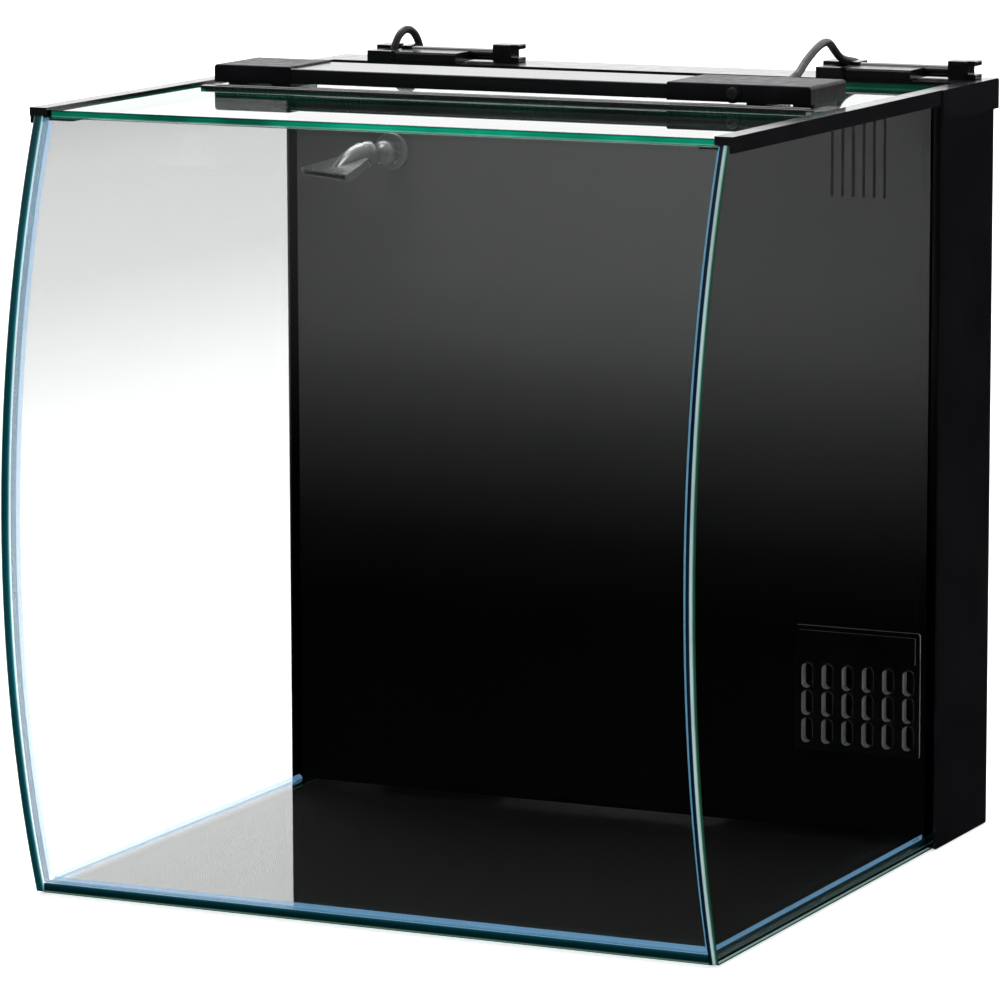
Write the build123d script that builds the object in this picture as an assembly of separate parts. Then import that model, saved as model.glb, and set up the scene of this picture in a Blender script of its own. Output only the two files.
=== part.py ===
from build123d import *
import os
from math import asin, cos, degrees, pi, radians, sin, sqrt, tan

# Glass aquarium tank with a bent front pane, a filter chamber behind a black
# partition, a folding glass lid and an LED bar that stands on it.
# Millimetres. X is the width, -Y the front, +Z up. The origin is on the floor,
# under the middle of the tank and its rim.

# driving dimensions
tank_width = 450.0
glass = 6.0
mat_thick = 1.5
pane_top = 474.5
rim_top = 476.5
front_radius = 694.4
bulge_y = -232.5
bulge_z = 220.0
rear_y = 229.5
partition_y = 140.5
partition_thick = 5.0
lid_thick = 4.0
lid_under = 470.8
hinge_y = -11.0
hinge_z = 474.9
light_front = -6.5
light_length = 400.0
light_depth = 56.0
light_under = 478.1
light_height = 11.0
cord_dia = 5.0

# worked out from them
half = tank_width / 2
inner = half - glass
arc_y = bulge_y + front_radius
floor_top = mat_thick + glass
lid_top = lid_under + lid_thick
lid_half = inner - 3.4
light_top = light_under + light_height
light_half = light_length / 2
light_rear = light_front + light_depth
chamber_front = partition_y + partition_thick
chamber_rear = rear_y - glass
seam = 0.8


def block(x, y, z):
    """A box between two limits along each axis."""
    size = Box(x[1] - x[0], y[1] - y[0], z[1] - z[0])
    return Pos((x[0] + x[1]) / 2, (y[0] + y[1]) / 2, (z[0] + z[1]) / 2) * size


def round_block(x, y, z, radius):
    """A box with all of its edges rounded."""
    body = block(x, y, z)
    return fillet(body.edges(), radius)


def rod(radius, start, end):
    """A round bar between two points on one of the main axes."""
    a, b = Vector(*start), Vector(*end)
    plane = Plane(origin=a, z_dir=b - a)
    return extrude(plane * Circle(radius), (b - a).length)


def front_y(z, depth=0.0):
    """The bent pane's place at a height, measured inwards from its outer face."""
    radius = front_radius - depth
    return arc_y - sqrt(radius ** 2 - (z - bulge_z) ** 2)


def bent_outline(depth_out, depth_in, low, high):
    """A strip of the bent front, drawn in the YZ plane."""
    middle = (low + high) / 2
    outer = [(front_y(z, depth_out), z) for z in (low, middle, high)]
    inside = [(front_y(z, depth_in), z) for z in (low, middle, high)]
    lines = [
        ThreePointArc(*outer),
        Line(outer[2], inside[2]),
        ThreePointArc(*inside),
        Line(inside[0], outer[0]),
    ]
    return Plane.YZ * make_face(Wire(lines))


def bent_strip(x, depth_out, depth_in, low, high):
    """A strip of the bent front between two places across the width."""
    face = bent_outline(depth_out, depth_in, low, high)
    return Pos(x[0], 0, 0) * extrude(face, x[1] - x[0], dir=(1, 0, 0))


def profile_along_x(points, x):
    """A YZ outline pulled along X."""
    face = Plane.YZ * make_face(Polyline(*points, close=True))
    return Pos(x[0], 0, 0) * extrude(face, x[1] - x[0], dir=(1, 0, 0))


def profile_along_y(points, y):
    """An XZ outline pulled along Y."""
    outline = [(x, y[0], z) for x, z in points]
    face = make_face(Polyline(*outline, close=True))
    return extrude(face, y[1] - y[0], dir=(0, 1, 0))


def profile_along_z(points, z):
    """An XY outline pulled along Z."""
    outline = [(x, y, z[0]) for x, y in points]
    face = make_face(Polyline(*outline, close=True))
    return extrude(face, z[1] - z[0], dir=(0, 0, 1))


def mirrored(shape):
    """The same piece on the other side of the tank."""
    return mirror(shape, about=Plane.YZ)


# ---------------------------------------------------------------- glass panes

def side_glass():
    """The right side pane, its front edge ground to the bent front's curve."""
    low, high = mat_thick, pane_top
    middle = (low + high) / 2
    front = [(front_y(z), z) for z in (low, middle, high)]
    lines = [
        ThreePointArc(*front),
        Line(front[2], (rear_y, high)),
        Line((rear_y, high), (rear_y, low)),
        Line((rear_y, low), front[0]),
    ]
    face = Plane.YZ * make_face(Wire(lines))
    return Pos(inner, 0, 0) * extrude(face, glass, dir=(1, 0, 0))


def front_glass():
    """The bent pane stands on the bottom pane, a seam inside the side panes."""
    wide = inner - seam
    return bent_strip((-wide, wide), 0, glass, floor_top + seam, lid_under - 0.6)


def bottom_glass():
    return block((-inner, inner), (front_y(floor_top) + 0.4, rear_y), (mat_thick, floor_top))


def back_glass():
    return block((-inner, inner), (chamber_rear, rear_y), (floor_top, pane_top))


def leveling_mat():
    """A thin foam mat, set in from the panes all round."""
    inset = 4.0
    body = block(
        (-half + inset, half - inset),
        (front_y(mat_thick) + inset, rear_y - inset),
        (0, mat_thick),
    )
    return fillet(body.edges().filter_by(Axis.Z), 3)


def silicone_seams():
    """The strips of silicone on the bent pane's two ends and under its foot."""
    wide = inner - seam
    low, high = floor_top + seam, lid_under - 0.6
    right = bent_strip((wide, inner), 0.3, glass, low, high)
    foot = block(
        (-wide, wide),
        (front_y(floor_top) + 0.6, front_y(floor_top, glass)),
        (floor_top, floor_top + seam),
    )
    return Compound([right, mirrored(right), foot])


def silicone_beads():
    """Smoothed fillets of silicone in the inside corners of the display tank."""
    leg = 3.0
    low, high = floor_top + seam, lid_under - 3.4
    wide = inner - seam
    top_turn = -degrees(asin((high - bulge_z) / (front_radius - glass)))
    foot_turn = degrees(asin((bulge_z - low - leg) / (front_radius - glass)))
    skin = arc_y - front_radius + glass
    corner = [(wide, skin, bulge_z), (wide, skin + leg, bulge_z), (wide - leg, skin, bulge_z)]
    face = make_face(Polyline(*corner, close=True))
    hinge = Axis((0, arc_y, bulge_z), (1, 0, 0))
    upright = revolve(face.rotate(hinge, top_turn), hinge, foot_turn - top_turn)
    foot_y = front_y(floor_top, glass) + 0.35
    gap = leg + 1.0
    foot = profile_along_x(
        [(foot_y, floor_top), (foot_y + leg, floor_top), (foot_y, floor_top + leg)],
        (-inner + gap, inner - gap),
    )
    side = profile_along_y(
        [(inner, floor_top), (inner - leg, floor_top), (inner, floor_top + leg)],
        (foot_y + gap, partition_y - gap),
    )
    rear = profile_along_z(
        [(inner, partition_y), (inner - leg, partition_y), (inner, partition_y - leg)],
        (floor_top + gap, lid_under - 14),
    )
    sheet = profile_along_x(
        [(partition_y, floor_top), (partition_y - leg, floor_top), (partition_y, floor_top + leg)],
        (-inner + gap, inner - gap),
    )
    pairs = [upright, side, rear]
    return Compound(pairs + [mirrored(p) for p in pairs] + [foot, sheet])


# ------------------------------------------------------- rim and black covers

skirt_front = 136.5
shelf_inner = half - 22.0
deck_front = 187.5


def side_cover():
    """The black panel over the filter chamber's end, on the outside of the glass."""
    body = block((half, half + 1.5), (partition_y, rear_y), (0.6, rim_top - 3))
    return fillet(body.edges().filter_by(Axis.X).group_by(Axis.Z)[0], 1.0)


def side_rail():
    """The right side's rim: a cap over the pane, a shelf for the lids, a deep rear skirt."""
    front = front_y(pane_top) - 1.6
    flange_low, skirt_low = rim_top - 9.5, rim_top - 19.0
    wall = half - 9.0
    cap = block((wall, half + 2.5), (front, rear_y), (pane_top, rim_top))
    flange = block((half, half + 2.5), (front, skirt_front), (flange_low, pane_top))
    inside_y = (front_y(lid_under, glass) + 0.8, deck_front)
    wall_plate = block((wall, inner), inside_y, (lid_under - 2.7, pane_top))
    shelf = block((shelf_inner, wall), inside_y, (lid_under - 2.7, lid_under - 0.2))
    nose = block((wall, half + 2.5), (front - 0.9, front), (rim_top - 5, rim_top))
    skirt = block((half + 1.6, half + 3.8), (skirt_front, rear_y + 3), (skirt_low, rim_top))
    top = block((half, half + 3.8), (skirt_front, rear_y + 3), (rim_top - 2, rim_top))
    step = block((half, half + 1.6), (skirt_front - 1.2, skirt_front + 3), (flange_low, rim_top))
    web = profile_along_x(
        [(skirt_front, flange_low), (skirt_front - 4, flange_low), (skirt_front, flange_low - 4)],
        (half + 1.6, half + 2.5),
    )
    bend = (skirt_front - 4, flange_low - 4)
    web = web - rod(4, (half, *bend), (half + 4, *bend))
    body = cap + flange + wall_plate + shelf + nose + skirt + top + web
    body = body + (step - side_cover())
    corner = body.edges().filter_by(Axis.X).sort_by(lambda e: -e.center().Y - e.center().Z)[0]
    return fillet(corner, 2.5)


flap_left_x = (-197.0, 118.0)
deck_low = rim_top - 2.0


def notch_x(left):
    return left + 15.0


def rear_deck():
    """The black deck over the filter chamber's rear, with two service openings."""
    wide = half - 9.2
    near, far = deck_front + 5, deck_front + 23
    shelf_low, shelf_top = lid_under - 2.7, lid_under - 0.2
    top = (deck_low, rim_top)
    left_hole, right_hole = [(left + 29, left + 66) for left in flap_left_x]
    front_bar = block((-wide, wide), (deck_front, near), top)
    rear_bar = block((-wide, wide), (far, rear_y + 3), top)
    bridges = []
    for x in ((-wide, left_hole[0]), (left_hole[1], right_hole[0]), (right_hole[1], wide)):
        bridge = block(x, (near, far), top)
        for left in flap_left_x:
            lane_x = (notch_x(left) - 4, notch_x(left) + 4)
            lane = block(lane_x, (near + 5, far - 1), (deck_low - 1, rim_top + 1))
            bridge = bridge - fillet(lane.edges().filter_by(Axis.Z), 3)
        bridges.append(bridge)
    between = shelf_inner - 0.1
    ledge = block((-between, between), (deck_front - 9, deck_front), (shelf_low, shelf_top))
    wall = block((-wide, wide), (deck_front, deck_front + 1.8), (shelf_low, deck_low))
    skirt = block((-wide, wide), (rear_y + 0.2, rear_y + 3), (rim_top - 19, deck_low))
    return Compound([front_bar, rear_bar, ledge, wall, skirt] + bridges)


pin_y = deck_front + 29.5
pin_z = rim_top + 4.3


def flap_bracket(left):
    """The fixed end block with a cord channel, and the clip that holds the pin's far end."""
    front = deck_front + 2
    low = block((left + 4, left + 24), (front, front + 24), (rim_top, rim_top + 6.5))
    high = block((left, left + 24), (front + 22, front + 39), (rim_top, rim_top + 8.5))
    body = fillet((low + high).edges().filter_by(Axis.Z), 1.2)
    lane = notch_x(left)
    body = body - block((lane - 3.4, lane + 3.4), (front + 7, front + 45), (rim_top, rim_top + 12))
    body = body - rod(1.55, (left + 19.5, pin_y, pin_z), (left + 30, pin_y, pin_z))
    clip = round_block((left + 84.5, left + 98), (front + 21, front + 34), (rim_top, rim_top + 11.5), 0.9)
    arm = block((left + 96, left + 103), (front + 22, front + 33), (rim_top, rim_top + 3.2))
    roof = block((left + 96, left + 103), (front + 22, front + 33), (rim_top + 8.3, rim_top + 11.5))
    clip = clip + fillet(arm.edges().filter_by(Axis.Y), 0.8) + fillet(roof.edges().filter_by(Axis.Y), 0.8)
    clip = clip - rod(1.55, (left + 80, pin_y, pin_z), (left + 92.5, pin_y, pin_z))
    return Compound([body, clip])


def flap_pin(left):
    return rod(1.5, (left + 19.7, pin_y, pin_z), (left + 92.3, pin_y, pin_z))


def service_flap(left):
    """A glossy flap whose rear bar turns on the pin."""
    front = deck_front + 2
    plate = block((left + 24.4, left + 68), (front, pin_y), (rim_top + 0.4, rim_top + 6.4))
    plate = chamfer(plate.edges().filter_by(Axis.X).group_by(Axis.Y)[0].group_by(Axis.Z)[-1:][0], 1.2)
    hollow = block((left + 26.4, left + 66), (front + 2, pin_y - 6), (rim_top, rim_top + 4.4))
    bar = rod(3.8, (left + 24.4, pin_y, pin_z), (left + 84.1, pin_y, pin_z))
    body = plate - hollow + bar
    body = body - block((left + 20, left + 90), (pin_y - 20, pin_y + 20), (rim_top - 5, rim_top + 0.4))
    return body - rod(1.56, (left + 20, pin_y, pin_z), (left + 88, pin_y, pin_z))


# ---------------------------------------------------- partition and its grille

comb_x = [154 + 7 * i for i in range(6)]
grille_x = (131.6, 215.6)
grille_z = (57.5, 137.0)
slot_first, slot_pitch = 139.6, 13.6
slot_rows = (105.0, 87.5, 70.0)
nozzle_x, nozzle_z = -150.0, 423.7


def partition():
    """The black sheet between the display tank and the filter chamber."""
    rear = chamber_front
    body = block((-inner, inner), (partition_y, rear), (floor_top, lid_under - 3.2))
    for x in comb_x:
        cut = block((x - 1, x + 1), (partition_y - 1, rear + 1), (407.5, 459))
        body = body - fillet(cut.edges().filter_by(Axis.Y), 0.9)
    window = block(
        (grille_x[0] + 3, grille_x[1] - 3),
        (partition_y - 1, rear + 1),
        (grille_z[0] + 3, grille_z[1] - 3),
    )
    body = body - window
    return body - rod(8.2, (nozzle_x, partition_y - 1, nozzle_z), (nozzle_x, rear + 1, nozzle_z))


def intake_grille():
    """The moulded grille that clips into the partition's lower window."""
    flange = block(grille_x, (partition_y - 1.5, partition_y), grille_z)
    flange = fillet(flange.edges().filter_by(Axis.Y), 2)
    plug = block(
        (grille_x[0] + 3.1, grille_x[1] - 3.1),
        (partition_y, chamber_front),
        (grille_z[0] + 3.1, grille_z[1] - 3.1),
    )
    band = block((grille_x[0] + 3, grille_x[1] - 3), (partition_y - 2.1, partition_y - 1.5), (117, 134))
    body = flange + plug + band
    for column in range(6):
        x = slot_first + slot_pitch * column
        for z in slot_rows:
            cut = block((x - 3.2, x + 3.2), (partition_y - 3, chamber_front + 1), (z - 7.8, z + 7.8))
            body = body - fillet(cut.edges().filter_by(Axis.Y), 3.1)
            rim = block((x - 4.2, x + 4.2), (partition_y - 2.2, partition_y - 1.5), (z - 8.6, z + 8.6))
            rim = fillet(rim.edges().filter_by(Axis.Y), 4.1)
            rim = chamfer(rim.faces().sort_by(Axis.Y)[0].edges(), 0.5)
            body = body + (rim - fillet(cut.edges().filter_by(Axis.Y), 3.1))
    return body


def chamber_divider(x, low, high):
    return block((x - 2, x + 2), (chamber_front, chamber_rear), (low, high))


# ------------------------------------------------------------- lids and hinge

barrel_in, barrel_out = 1.36, 2.5


def front_lid():
    """The lid pane that lifts, between the rails, over the bent pane's top edge."""
    body = block((-lid_half, lid_half), (-183.0, hinge_y - 3.4), (lid_under, lid_top))
    corners = body.edges().filter_by(Axis.Z).group_by(Axis.Y)[0]
    return chamfer(corners, 1.5)


def rear_lid():
    """The lid pane that stays, between the hinge and the rear deck."""
    return block((-lid_half, lid_half), (hinge_y + 3.8, deck_front - 0.4), (lid_under, lid_top))


strip_half = shelf_inner - 0.6


def lid_clip():
    """The moving half of the hinge strip: a channel on the front lid and a split barrel."""
    rear = hinge_y - 2.0
    top = block((-strip_half, strip_half), (hinge_y - 8.4, rear), (lid_top, lid_top + 2.0))
    top = fillet(top.edges().filter_by(Axis.X).group_by(Axis.Z)[-1][0], 0.8)
    bottom = block((-strip_half, strip_half), (hinge_y - 9.4, rear), (lid_under - 1.2, lid_under))
    web = block((-strip_half, strip_half), (hinge_y - 3.4, rear), (lid_under - 1.2, lid_top + 2.0))
    barrel = rod(barrel_out, (-strip_half, hinge_y, hinge_z), (strip_half, hinge_y, hinge_z))
    bore = rod(barrel_in, (-half, hinge_y, hinge_z), (half, hinge_y, hinge_z))
    mouth_low, mouth_high = radians(-32), radians(118)
    reach = 6.0
    points = [(hinge_y, hinge_z)]
    for step in range(4):
        turn = mouth_low + (mouth_high - mouth_low) * step / 3
        points.append((hinge_y + reach * cos(turn), hinge_z + reach * sin(turn)))
    mouth = profile_along_x(points, (-half, half))
    around = rod(barrel_out, (-half, hinge_y, hinge_z), (half, hinge_y, hinge_z))
    return top + bottom + (web - around) + (barrel - bore - mouth)


def hinge_strip():
    """The fixed half: a channel on the rear lid with the rod that the barrel turns on."""
    near = hinge_y + 3.0
    top = block((-strip_half, strip_half), (near, hinge_y + 12), (lid_top, lid_top + 1.4))
    bottom = block((-strip_half, strip_half), (near, hinge_y + 12), (lid_under - 1.2, lid_under))
    back = block((-strip_half, strip_half), (near, hinge_y + 3.8), (lid_under - 1.2, lid_top + 1.4))
    web = block((-strip_half, strip_half), (hinge_y, near), (hinge_z - 0.5, hinge_z + 0.5))
    pin = rod(1.3, (-strip_half, hinge_y, hinge_z), (strip_half, hinge_y, hinge_z))
    return top + bottom + back + web + pin


# ------------------------------------------------------------------ LED light

cap_left = -light_half + 53.0
cap_right = light_half - 93.0
button_x, button_z = 150.0, light_under + 5.2
gland_x, gland_z = 156.0, light_under + 5.5


def light_housing():
    """The aluminium channel between the end caps, open underneath for the lens."""
    x = (cap_left - 6, cap_right + 6)
    y = (light_front + 0.8, light_rear - 0.8)
    z = (light_under + 0.6, light_top - 1.2)
    body = block(x, y, z)
    body = fillet(body.edges().filter_by(Axis.X).group_by(Axis.Z)[-1], 1.0)
    hollow = block((x[0] - 1, x[1] + 1), (y[0] + 1.6, y[1] - 1.6), (z[0] - 1, z[1] - 1.8))
    return body - hollow


def end_cap(x, open_end):
    """A hollow moulded cap that slips over the channel's end."""
    y = (light_front, light_rear)
    z = (light_under, light_top)
    body = block(x, y, z)
    outer = x[0] if open_end > 0 else x[1]
    side = [e for e in body.edges().filter_by(Axis.Y) if abs(e.center().X - outer) < 0.1]
    upper = [e for e in side if e.center().Z > light_under + 5]
    body = fillet(upper, 2.4)
    rim = [e for e in body.faces().sort_by(Axis.Z)[-1].edges() if abs(e.center().X - outer) > 3]
    body = fillet([e for e in rim if e.length > 20], 1.0)
    pocket_x = (x[0] + 2, x[1] + 1) if open_end > 0 else (x[0] - 1, x[1] - 2)
    pocket = block(pocket_x, (y[0] + 2.2, y[1] - 2.2), (z[0] + 1.8, z[1] - 2.6))
    body = body - pocket
    end = light_housing().bounding_box()
    seat = block(
        (end.min.X, x[1] + 1) if open_end > 0 else (x[0] - 1, end.max.X),
        (light_front + 0.8, light_rear - 0.8),
        (light_under + 0.6, light_top - 1.2),
    )
    return body - seat


def left_cap():
    return end_cap((-light_half, cap_left), 1)


def right_cap():
    """The longer cap: it carries the button in a small round boss, and the cord's outlet."""
    body = end_cap((cap_right, light_half), -1)
    boss = rod(5.8, (button_x, light_front - 0.9, button_z), (button_x, light_front + 2.2, button_z))
    above = block((button_x - 10, button_x + 10), (light_front - 5, light_front + 5), (light_top - 1.2, 500))
    boss = boss - above
    body = body + boss
    body = body - rod(3.9, (button_x, light_front - 5, button_z), (button_x, light_front + 5, button_z))
    return body - rod(3.1, (gland_x, light_rear - 5, gland_z), (gland_x, light_rear + 5, gland_z))


def power_button():
    """A round push button with a collar behind the cap's wall."""
    face = rod(3.7, (button_x, light_front - 1.7, button_z), (button_x, light_front + 2.6, button_z))
    face = fillet(face.edges().group_by(Axis.Y)[0], 0.6)
    collar = block(
        (button_x - 5.5, button_x + 5.5),
        (light_front + 2.6, light_front + 3.4),
        (button_z - 2.9, button_z + 2.7),
    )
    return face + collar


def light_lens():
    """The milky strip that closes the channel's underside."""
    y = (light_front + 2.6, light_rear - 2.6)
    return block((cap_left, cap_right), y, (light_under + 0.7, light_under + 2.5))


def led_board():
    """The circuit strip under the channel's roof, with its rows of emitters."""
    z = light_top - 1.2 - 1.8
    strip = block((cap_left + 2, cap_right - 2), (light_front + 8, light_rear - 8), (z - 1.6, z))
    emitters = []
    count = 16
    for row in (12.0, 28.0, 44.0):
        for i in range(count):
            x = cap_left + 12 + i * (cap_right - cap_left - 24) / (count - 1)
            y = light_front + row
            emitters.append(block((x - 1.8, x + 1.8), (y - 1.4, y + 1.4), (z - 2.4, z - 1.6)))
    return Compound([strip] + emitters)


def light_feet():
    """Four soft pads that stand on the lid's rear pane."""
    pads = []
    for x in (-light_half + 10, -light_half + 40, light_half - 40, light_half - 10):
        pad = block((x - 7, x + 7), (light_front + 12, light_rear - 6), (lid_top + 0.1, light_under))
        pads.append(fillet(pad.edges().filter_by(Axis.Z), 2))
    return Compound(pads)


def light_gland():
    """The cord's strain relief in the right cap's rear wall."""
    body = rod(3.0, (gland_x, light_rear - 3.2, gland_z), (gland_x, light_rear, gland_z))
    collar = rod(4.4, (gland_x, light_rear - 4.2, gland_z), (gland_x, light_rear - 2.2, gland_z))
    collar = collar & block((100, 198), (0, light_rear - 2.2), (light_under + 1.8, light_top - 2.6))
    nose = Plane(origin=(gland_x, light_rear, gland_z), z_dir=(0, 1, 0))
    cone = loft([nose * Circle(4.2), nose.offset(8) * Circle(3.1)])
    return body + collar + cone


# ------------------------------------------------------------- return nozzle

ball_r = 6.0
yaw, dip = 28.0, 17.0
ball_1 = Vector(nozzle_x, partition_y - 11, nozzle_z)
link_dir = Vector(-sin(radians(yaw)), -cos(radians(yaw)), 0)
ball_2 = ball_1 + link_dir * 13
spout_side = Vector(cos(radians(yaw)), -sin(radians(yaw)), 0)
spout_dir = link_dir * cos(radians(dip)) + Vector(0, 0, -sin(radians(dip)))
spout_plane = Plane(origin=ball_2, x_dir=spout_side, z_dir=spout_dir)


def ball_at(centre, radius):
    return Pos(*centre) * Sphere(radius)


def socket_shell(plane, cut):
    """A split sphere that snaps over a ball, open behind the cut."""
    shell = plane * Sphere(8.4) - plane * Sphere(ball_r + 0.05)
    keep = plane * Pos(0, 0, 20 - cut) * Box(40, 40, 40)
    return shell & keep


def return_socket():
    """The fixed outlet on the partition: a flange, a neck and a ball, bored through."""
    y = partition_y
    flange = rod(12, (nozzle_x, y - 3, nozzle_z), (nozzle_x, y, nozzle_z))
    flange = fillet(flange.edges().group_by(Axis.Y)[0], 1.2)
    stub = rod(8, (nozzle_x, y, nozzle_z), (nozzle_x, y + 14, nozzle_z))
    neck = rod(3.2, (nozzle_x, y - 11, nozzle_z), (nozzle_x, y - 3, nozzle_z))
    body = flange + stub + neck + ball_at(ball_1, ball_r)
    return body - rod(2.2, (nozzle_x, y - 20, nozzle_z), (nozzle_x, y + 20, nozzle_z))


def swivel_link():
    """The middle link of the outlet: a socket behind and a ball in front."""
    plane = Plane(origin=ball_1, x_dir=spout_side, z_dir=link_dir)
    neck = plane * Pos(0, 0, 7) * extrude(Circle(3.2), 6)
    body = socket_shell(plane, 2.8) + neck + ball_at(ball_2, ball_r)
    body = body - plane * Sphere(ball_r + 0.05)
    return body - plane * extrude(Circle(2.2), 30)


def return_nozzle():
    """The flat fan outlet: a socket, a tapering cone and a wide flat spout."""
    p = spout_plane
    socket = socket_shell(p, 2.8)
    rings = [p.offset(4.5) * Circle(9.2), p.offset(16) * Circle(7.4)]
    cone = loft(rings + [p.offset(29) * Pos(0, -1.6) * Ellipse(4.6, 2.0)])
    fan = [(-14, 9), (-26.5, 36), (26.5, 36), (14, 9)]
    outline = [(p * Pos(x, 0, z)).position for x, z in fan]
    sheet = make_face(Polyline(*[tuple(q) for q in outline], close=True))
    up = p.y_dir if p.y_dir.Z > 0 else p.y_dir * -1
    plate = extrude(sheet, 5, dir=tuple(up))
    plate = Pos(*(up * -3.6)) * plate
    body = socket + cone + plate
    body = body - p * Sphere(ball_r + 0.05)
    duct = [(-3, 5), (-24, 37), (24, 37), (3, 5)]
    inside = make_face(Polyline(*[tuple((p * Pos(x, 0, z)).position) for x, z in duct], close=True))
    slot = Pos(*(up * -2.2)) * extrude(inside, 2.4, dir=tuple(up))
    return body - slot


# ---------------------------------------------------------- pump and pipework

pump_x, pump_y = -150.0, 184.0
pump_low = floor_top + 5.5


def pump_body():
    """The sealed motor block with its volute, rotor well and outlet barb."""
    motor = round_block((pump_x + 12, pump_x + 62), (pump_y - 22, pump_y + 22), (pump_low, pump_low + 46), 3)
    volute = rod(19, (pump_x - 10, pump_y, pump_low + 21), (pump_x + 13, pump_y, pump_low + 21))
    spigot = rod(7, (pump_x, pump_y, pump_low + 30), (pump_x, pump_y, pump_low + 56))
    body = motor + volute + spigot
    body = body - rod(14.5, (pump_x - 10.5, pump_y, pump_low + 21), (pump_x + 9, pump_y, pump_low + 21))
    body = body - rod(7.6, (pump_x + 8, pump_y, pump_low + 21), (pump_x + 46, pump_y, pump_low + 21))
    return body - rod(4.5, (pump_x, pump_y, pump_low + 25), (pump_x, pump_y, pump_low + 60))


def pump_shaft():
    """The fixed ceramic shaft between the well's end and the inlet cover."""
    return rod(1.2, (pump_x - 12, pump_y, pump_low + 21), (pump_x + 46, pump_y, pump_low + 21))


def impeller():
    """The magnet rotor with five blades, turning on the ceramic shaft."""
    axis_z = pump_low + 21
    rotor = rod(6.8, (pump_x + 10.5, pump_y, axis_z), (pump_x + 43, pump_y, axis_z))
    hub = rod(4, (pump_x - 7, pump_y, axis_z), (pump_x + 10.5, pump_y, axis_z))
    disc = rod(12, (pump_x + 5, pump_y, axis_z), (pump_x + 7, pump_y, axis_z))
    body = rotor + hub + disc
    for i in range(5):
        blade = block((pump_x - 5, pump_x + 5.2), (pump_y - 0.8, pump_y + 0.8), (axis_z + 3, axis_z + 12))
        body = body + blade.rotate(Axis((pump_x, pump_y, axis_z), (1, 0, 0)), 72 * i)
    return body - rod(1.25, (pump_x - 20, pump_y, axis_z), (pump_x + 60, pump_y, axis_z))


def pump_cover():
    """The slotted inlet cover that snaps onto the volute."""
    axis_z = pump_low + 21
    x = (pump_x - 24, pump_x - 10)
    body = round_block(x, (pump_y - 21, pump_y + 21), (pump_low, pump_low + 43), 2.5)
    body = body - block((x[0] + 2, x[1] + 1), (pump_y - 19, pump_y + 19), (pump_low + 2, pump_low + 41))
    post = rod(3, (x[0] + 1, pump_y, axis_z), (pump_x - 12, pump_y, axis_z))
    body = body + post
    for i in range(6):
        y = pump_y - 14 + 5.6 * i
        if abs(y - pump_y) > 3.5:
            body = body - block((x[0] - 1, x[0] + 3), (y - 1.2, y + 1.2), (pump_low + 6, pump_low + 34))
    body = body - block((x[0] - 1, x[0] + 3), (pump_y - 1.1, pump_y + 1.1), (pump_low + 27, pump_low + 41))
    return body - rod(1.2, (pump_x - 12.1, pump_y, axis_z), (pump_x + 5, pump_y, axis_z))


def pump_gland():
    """The tapered seal that the pump's cord comes out of."""
    foot = Plane(origin=(-100, 196, pump_low + 46), z_dir=(0, 0, 1))
    return loft([foot * Circle(5), foot.offset(9) * Circle(3.2)])


def flow_slider():
    """The thumb slide on the inlet cover that throttles the pump."""
    x = pump_x - 24
    plate = block((x - 1.8, x - 0.3), (pump_y - 9, pump_y + 9), (pump_low + 26, pump_low + 34))
    thumb = block((x - 3.6, x - 1.8), (pump_y - 4, pump_y + 4), (pump_low + 29, pump_low + 31))
    stem = block((x - 0.3, x + 2.4), (pump_y - 0.8, pump_y + 0.8), (pump_low + 28, pump_low + 32))
    tail = block((x + 2.4, x + 3.4), (pump_y - 2.2, pump_y + 2.2), (pump_low + 28, pump_low + 32))
    return plate + thumb + stem + tail


def suction_cups():
    """Four soft cups that hold the pump to the bottom pane."""
    cups = []
    for x in (pump_x - 18, pump_x + 50):
        for y in (pump_y - 12, pump_y + 12):
            cone = Pos(x, y, floor_top + 1.6) * Cone(8, 3, 3.2)
            stem = Pos(x, y, floor_top + 4.35) * Cylinder(2.5, 2.3)
            cups.append(cone + stem)
    return Compound(cups)


pipe_top = nozzle_z - 16
outlet_y = partition_y + 14.2


def return_pipe():
    """The rigid riser from the pump's spigot to the elbow."""
    low = pump_low + 44
    outside = rod(9, (pump_x, pump_y, low), (pump_x, pump_y, pipe_top))
    return outside - rod(7.05, (pump_x, pump_y, low - 1), (pump_x, pump_y, pipe_top + 1))


def return_elbow():
    """The bend from the riser to the outlet in the partition."""
    bend = 16.0
    path = Wire([
        Line((pump_x, pump_y, pipe_top - 12), (pump_x, pump_y, nozzle_z - bend)),
        ThreePointArc(
            (pump_x, pump_y, nozzle_z - bend),
            (pump_x, pump_y - bend + bend * cos(pi / 4), nozzle_z - bend + bend * sin(pi / 4)),
            (pump_x, pump_y - bend, nozzle_z),
        ),
        Line((pump_x, pump_y - bend, nozzle_z), (pump_x, outlet_y - 5, nozzle_z)),
    ])
    start = Plane(origin=path @ 0, z_dir=path % 0)
    mouth = rod(10.5, (pump_x, pump_y - 12, nozzle_z), (pump_x, partition_y + 6, nozzle_z))
    body = sweep(start * Circle(6.9), path) + mouth
    collar = rod(9.5, (pump_x, pump_y, pipe_top + 0.2), (pump_x, pump_y, pipe_top + 3.2))
    body = body + collar
    body = body - rod(8.05, (pump_x, outlet_y + 0.2, nozzle_z), (pump_x, partition_y, nozzle_z))
    return body - sweep(start * Circle(4.4), path)


# -------------------------------------------------------------- filter media

basket_x, basket_y = (88.0, 212.0), (153.0, 216.0)
basket_z = (floor_top + 5, 330.0)


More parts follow.
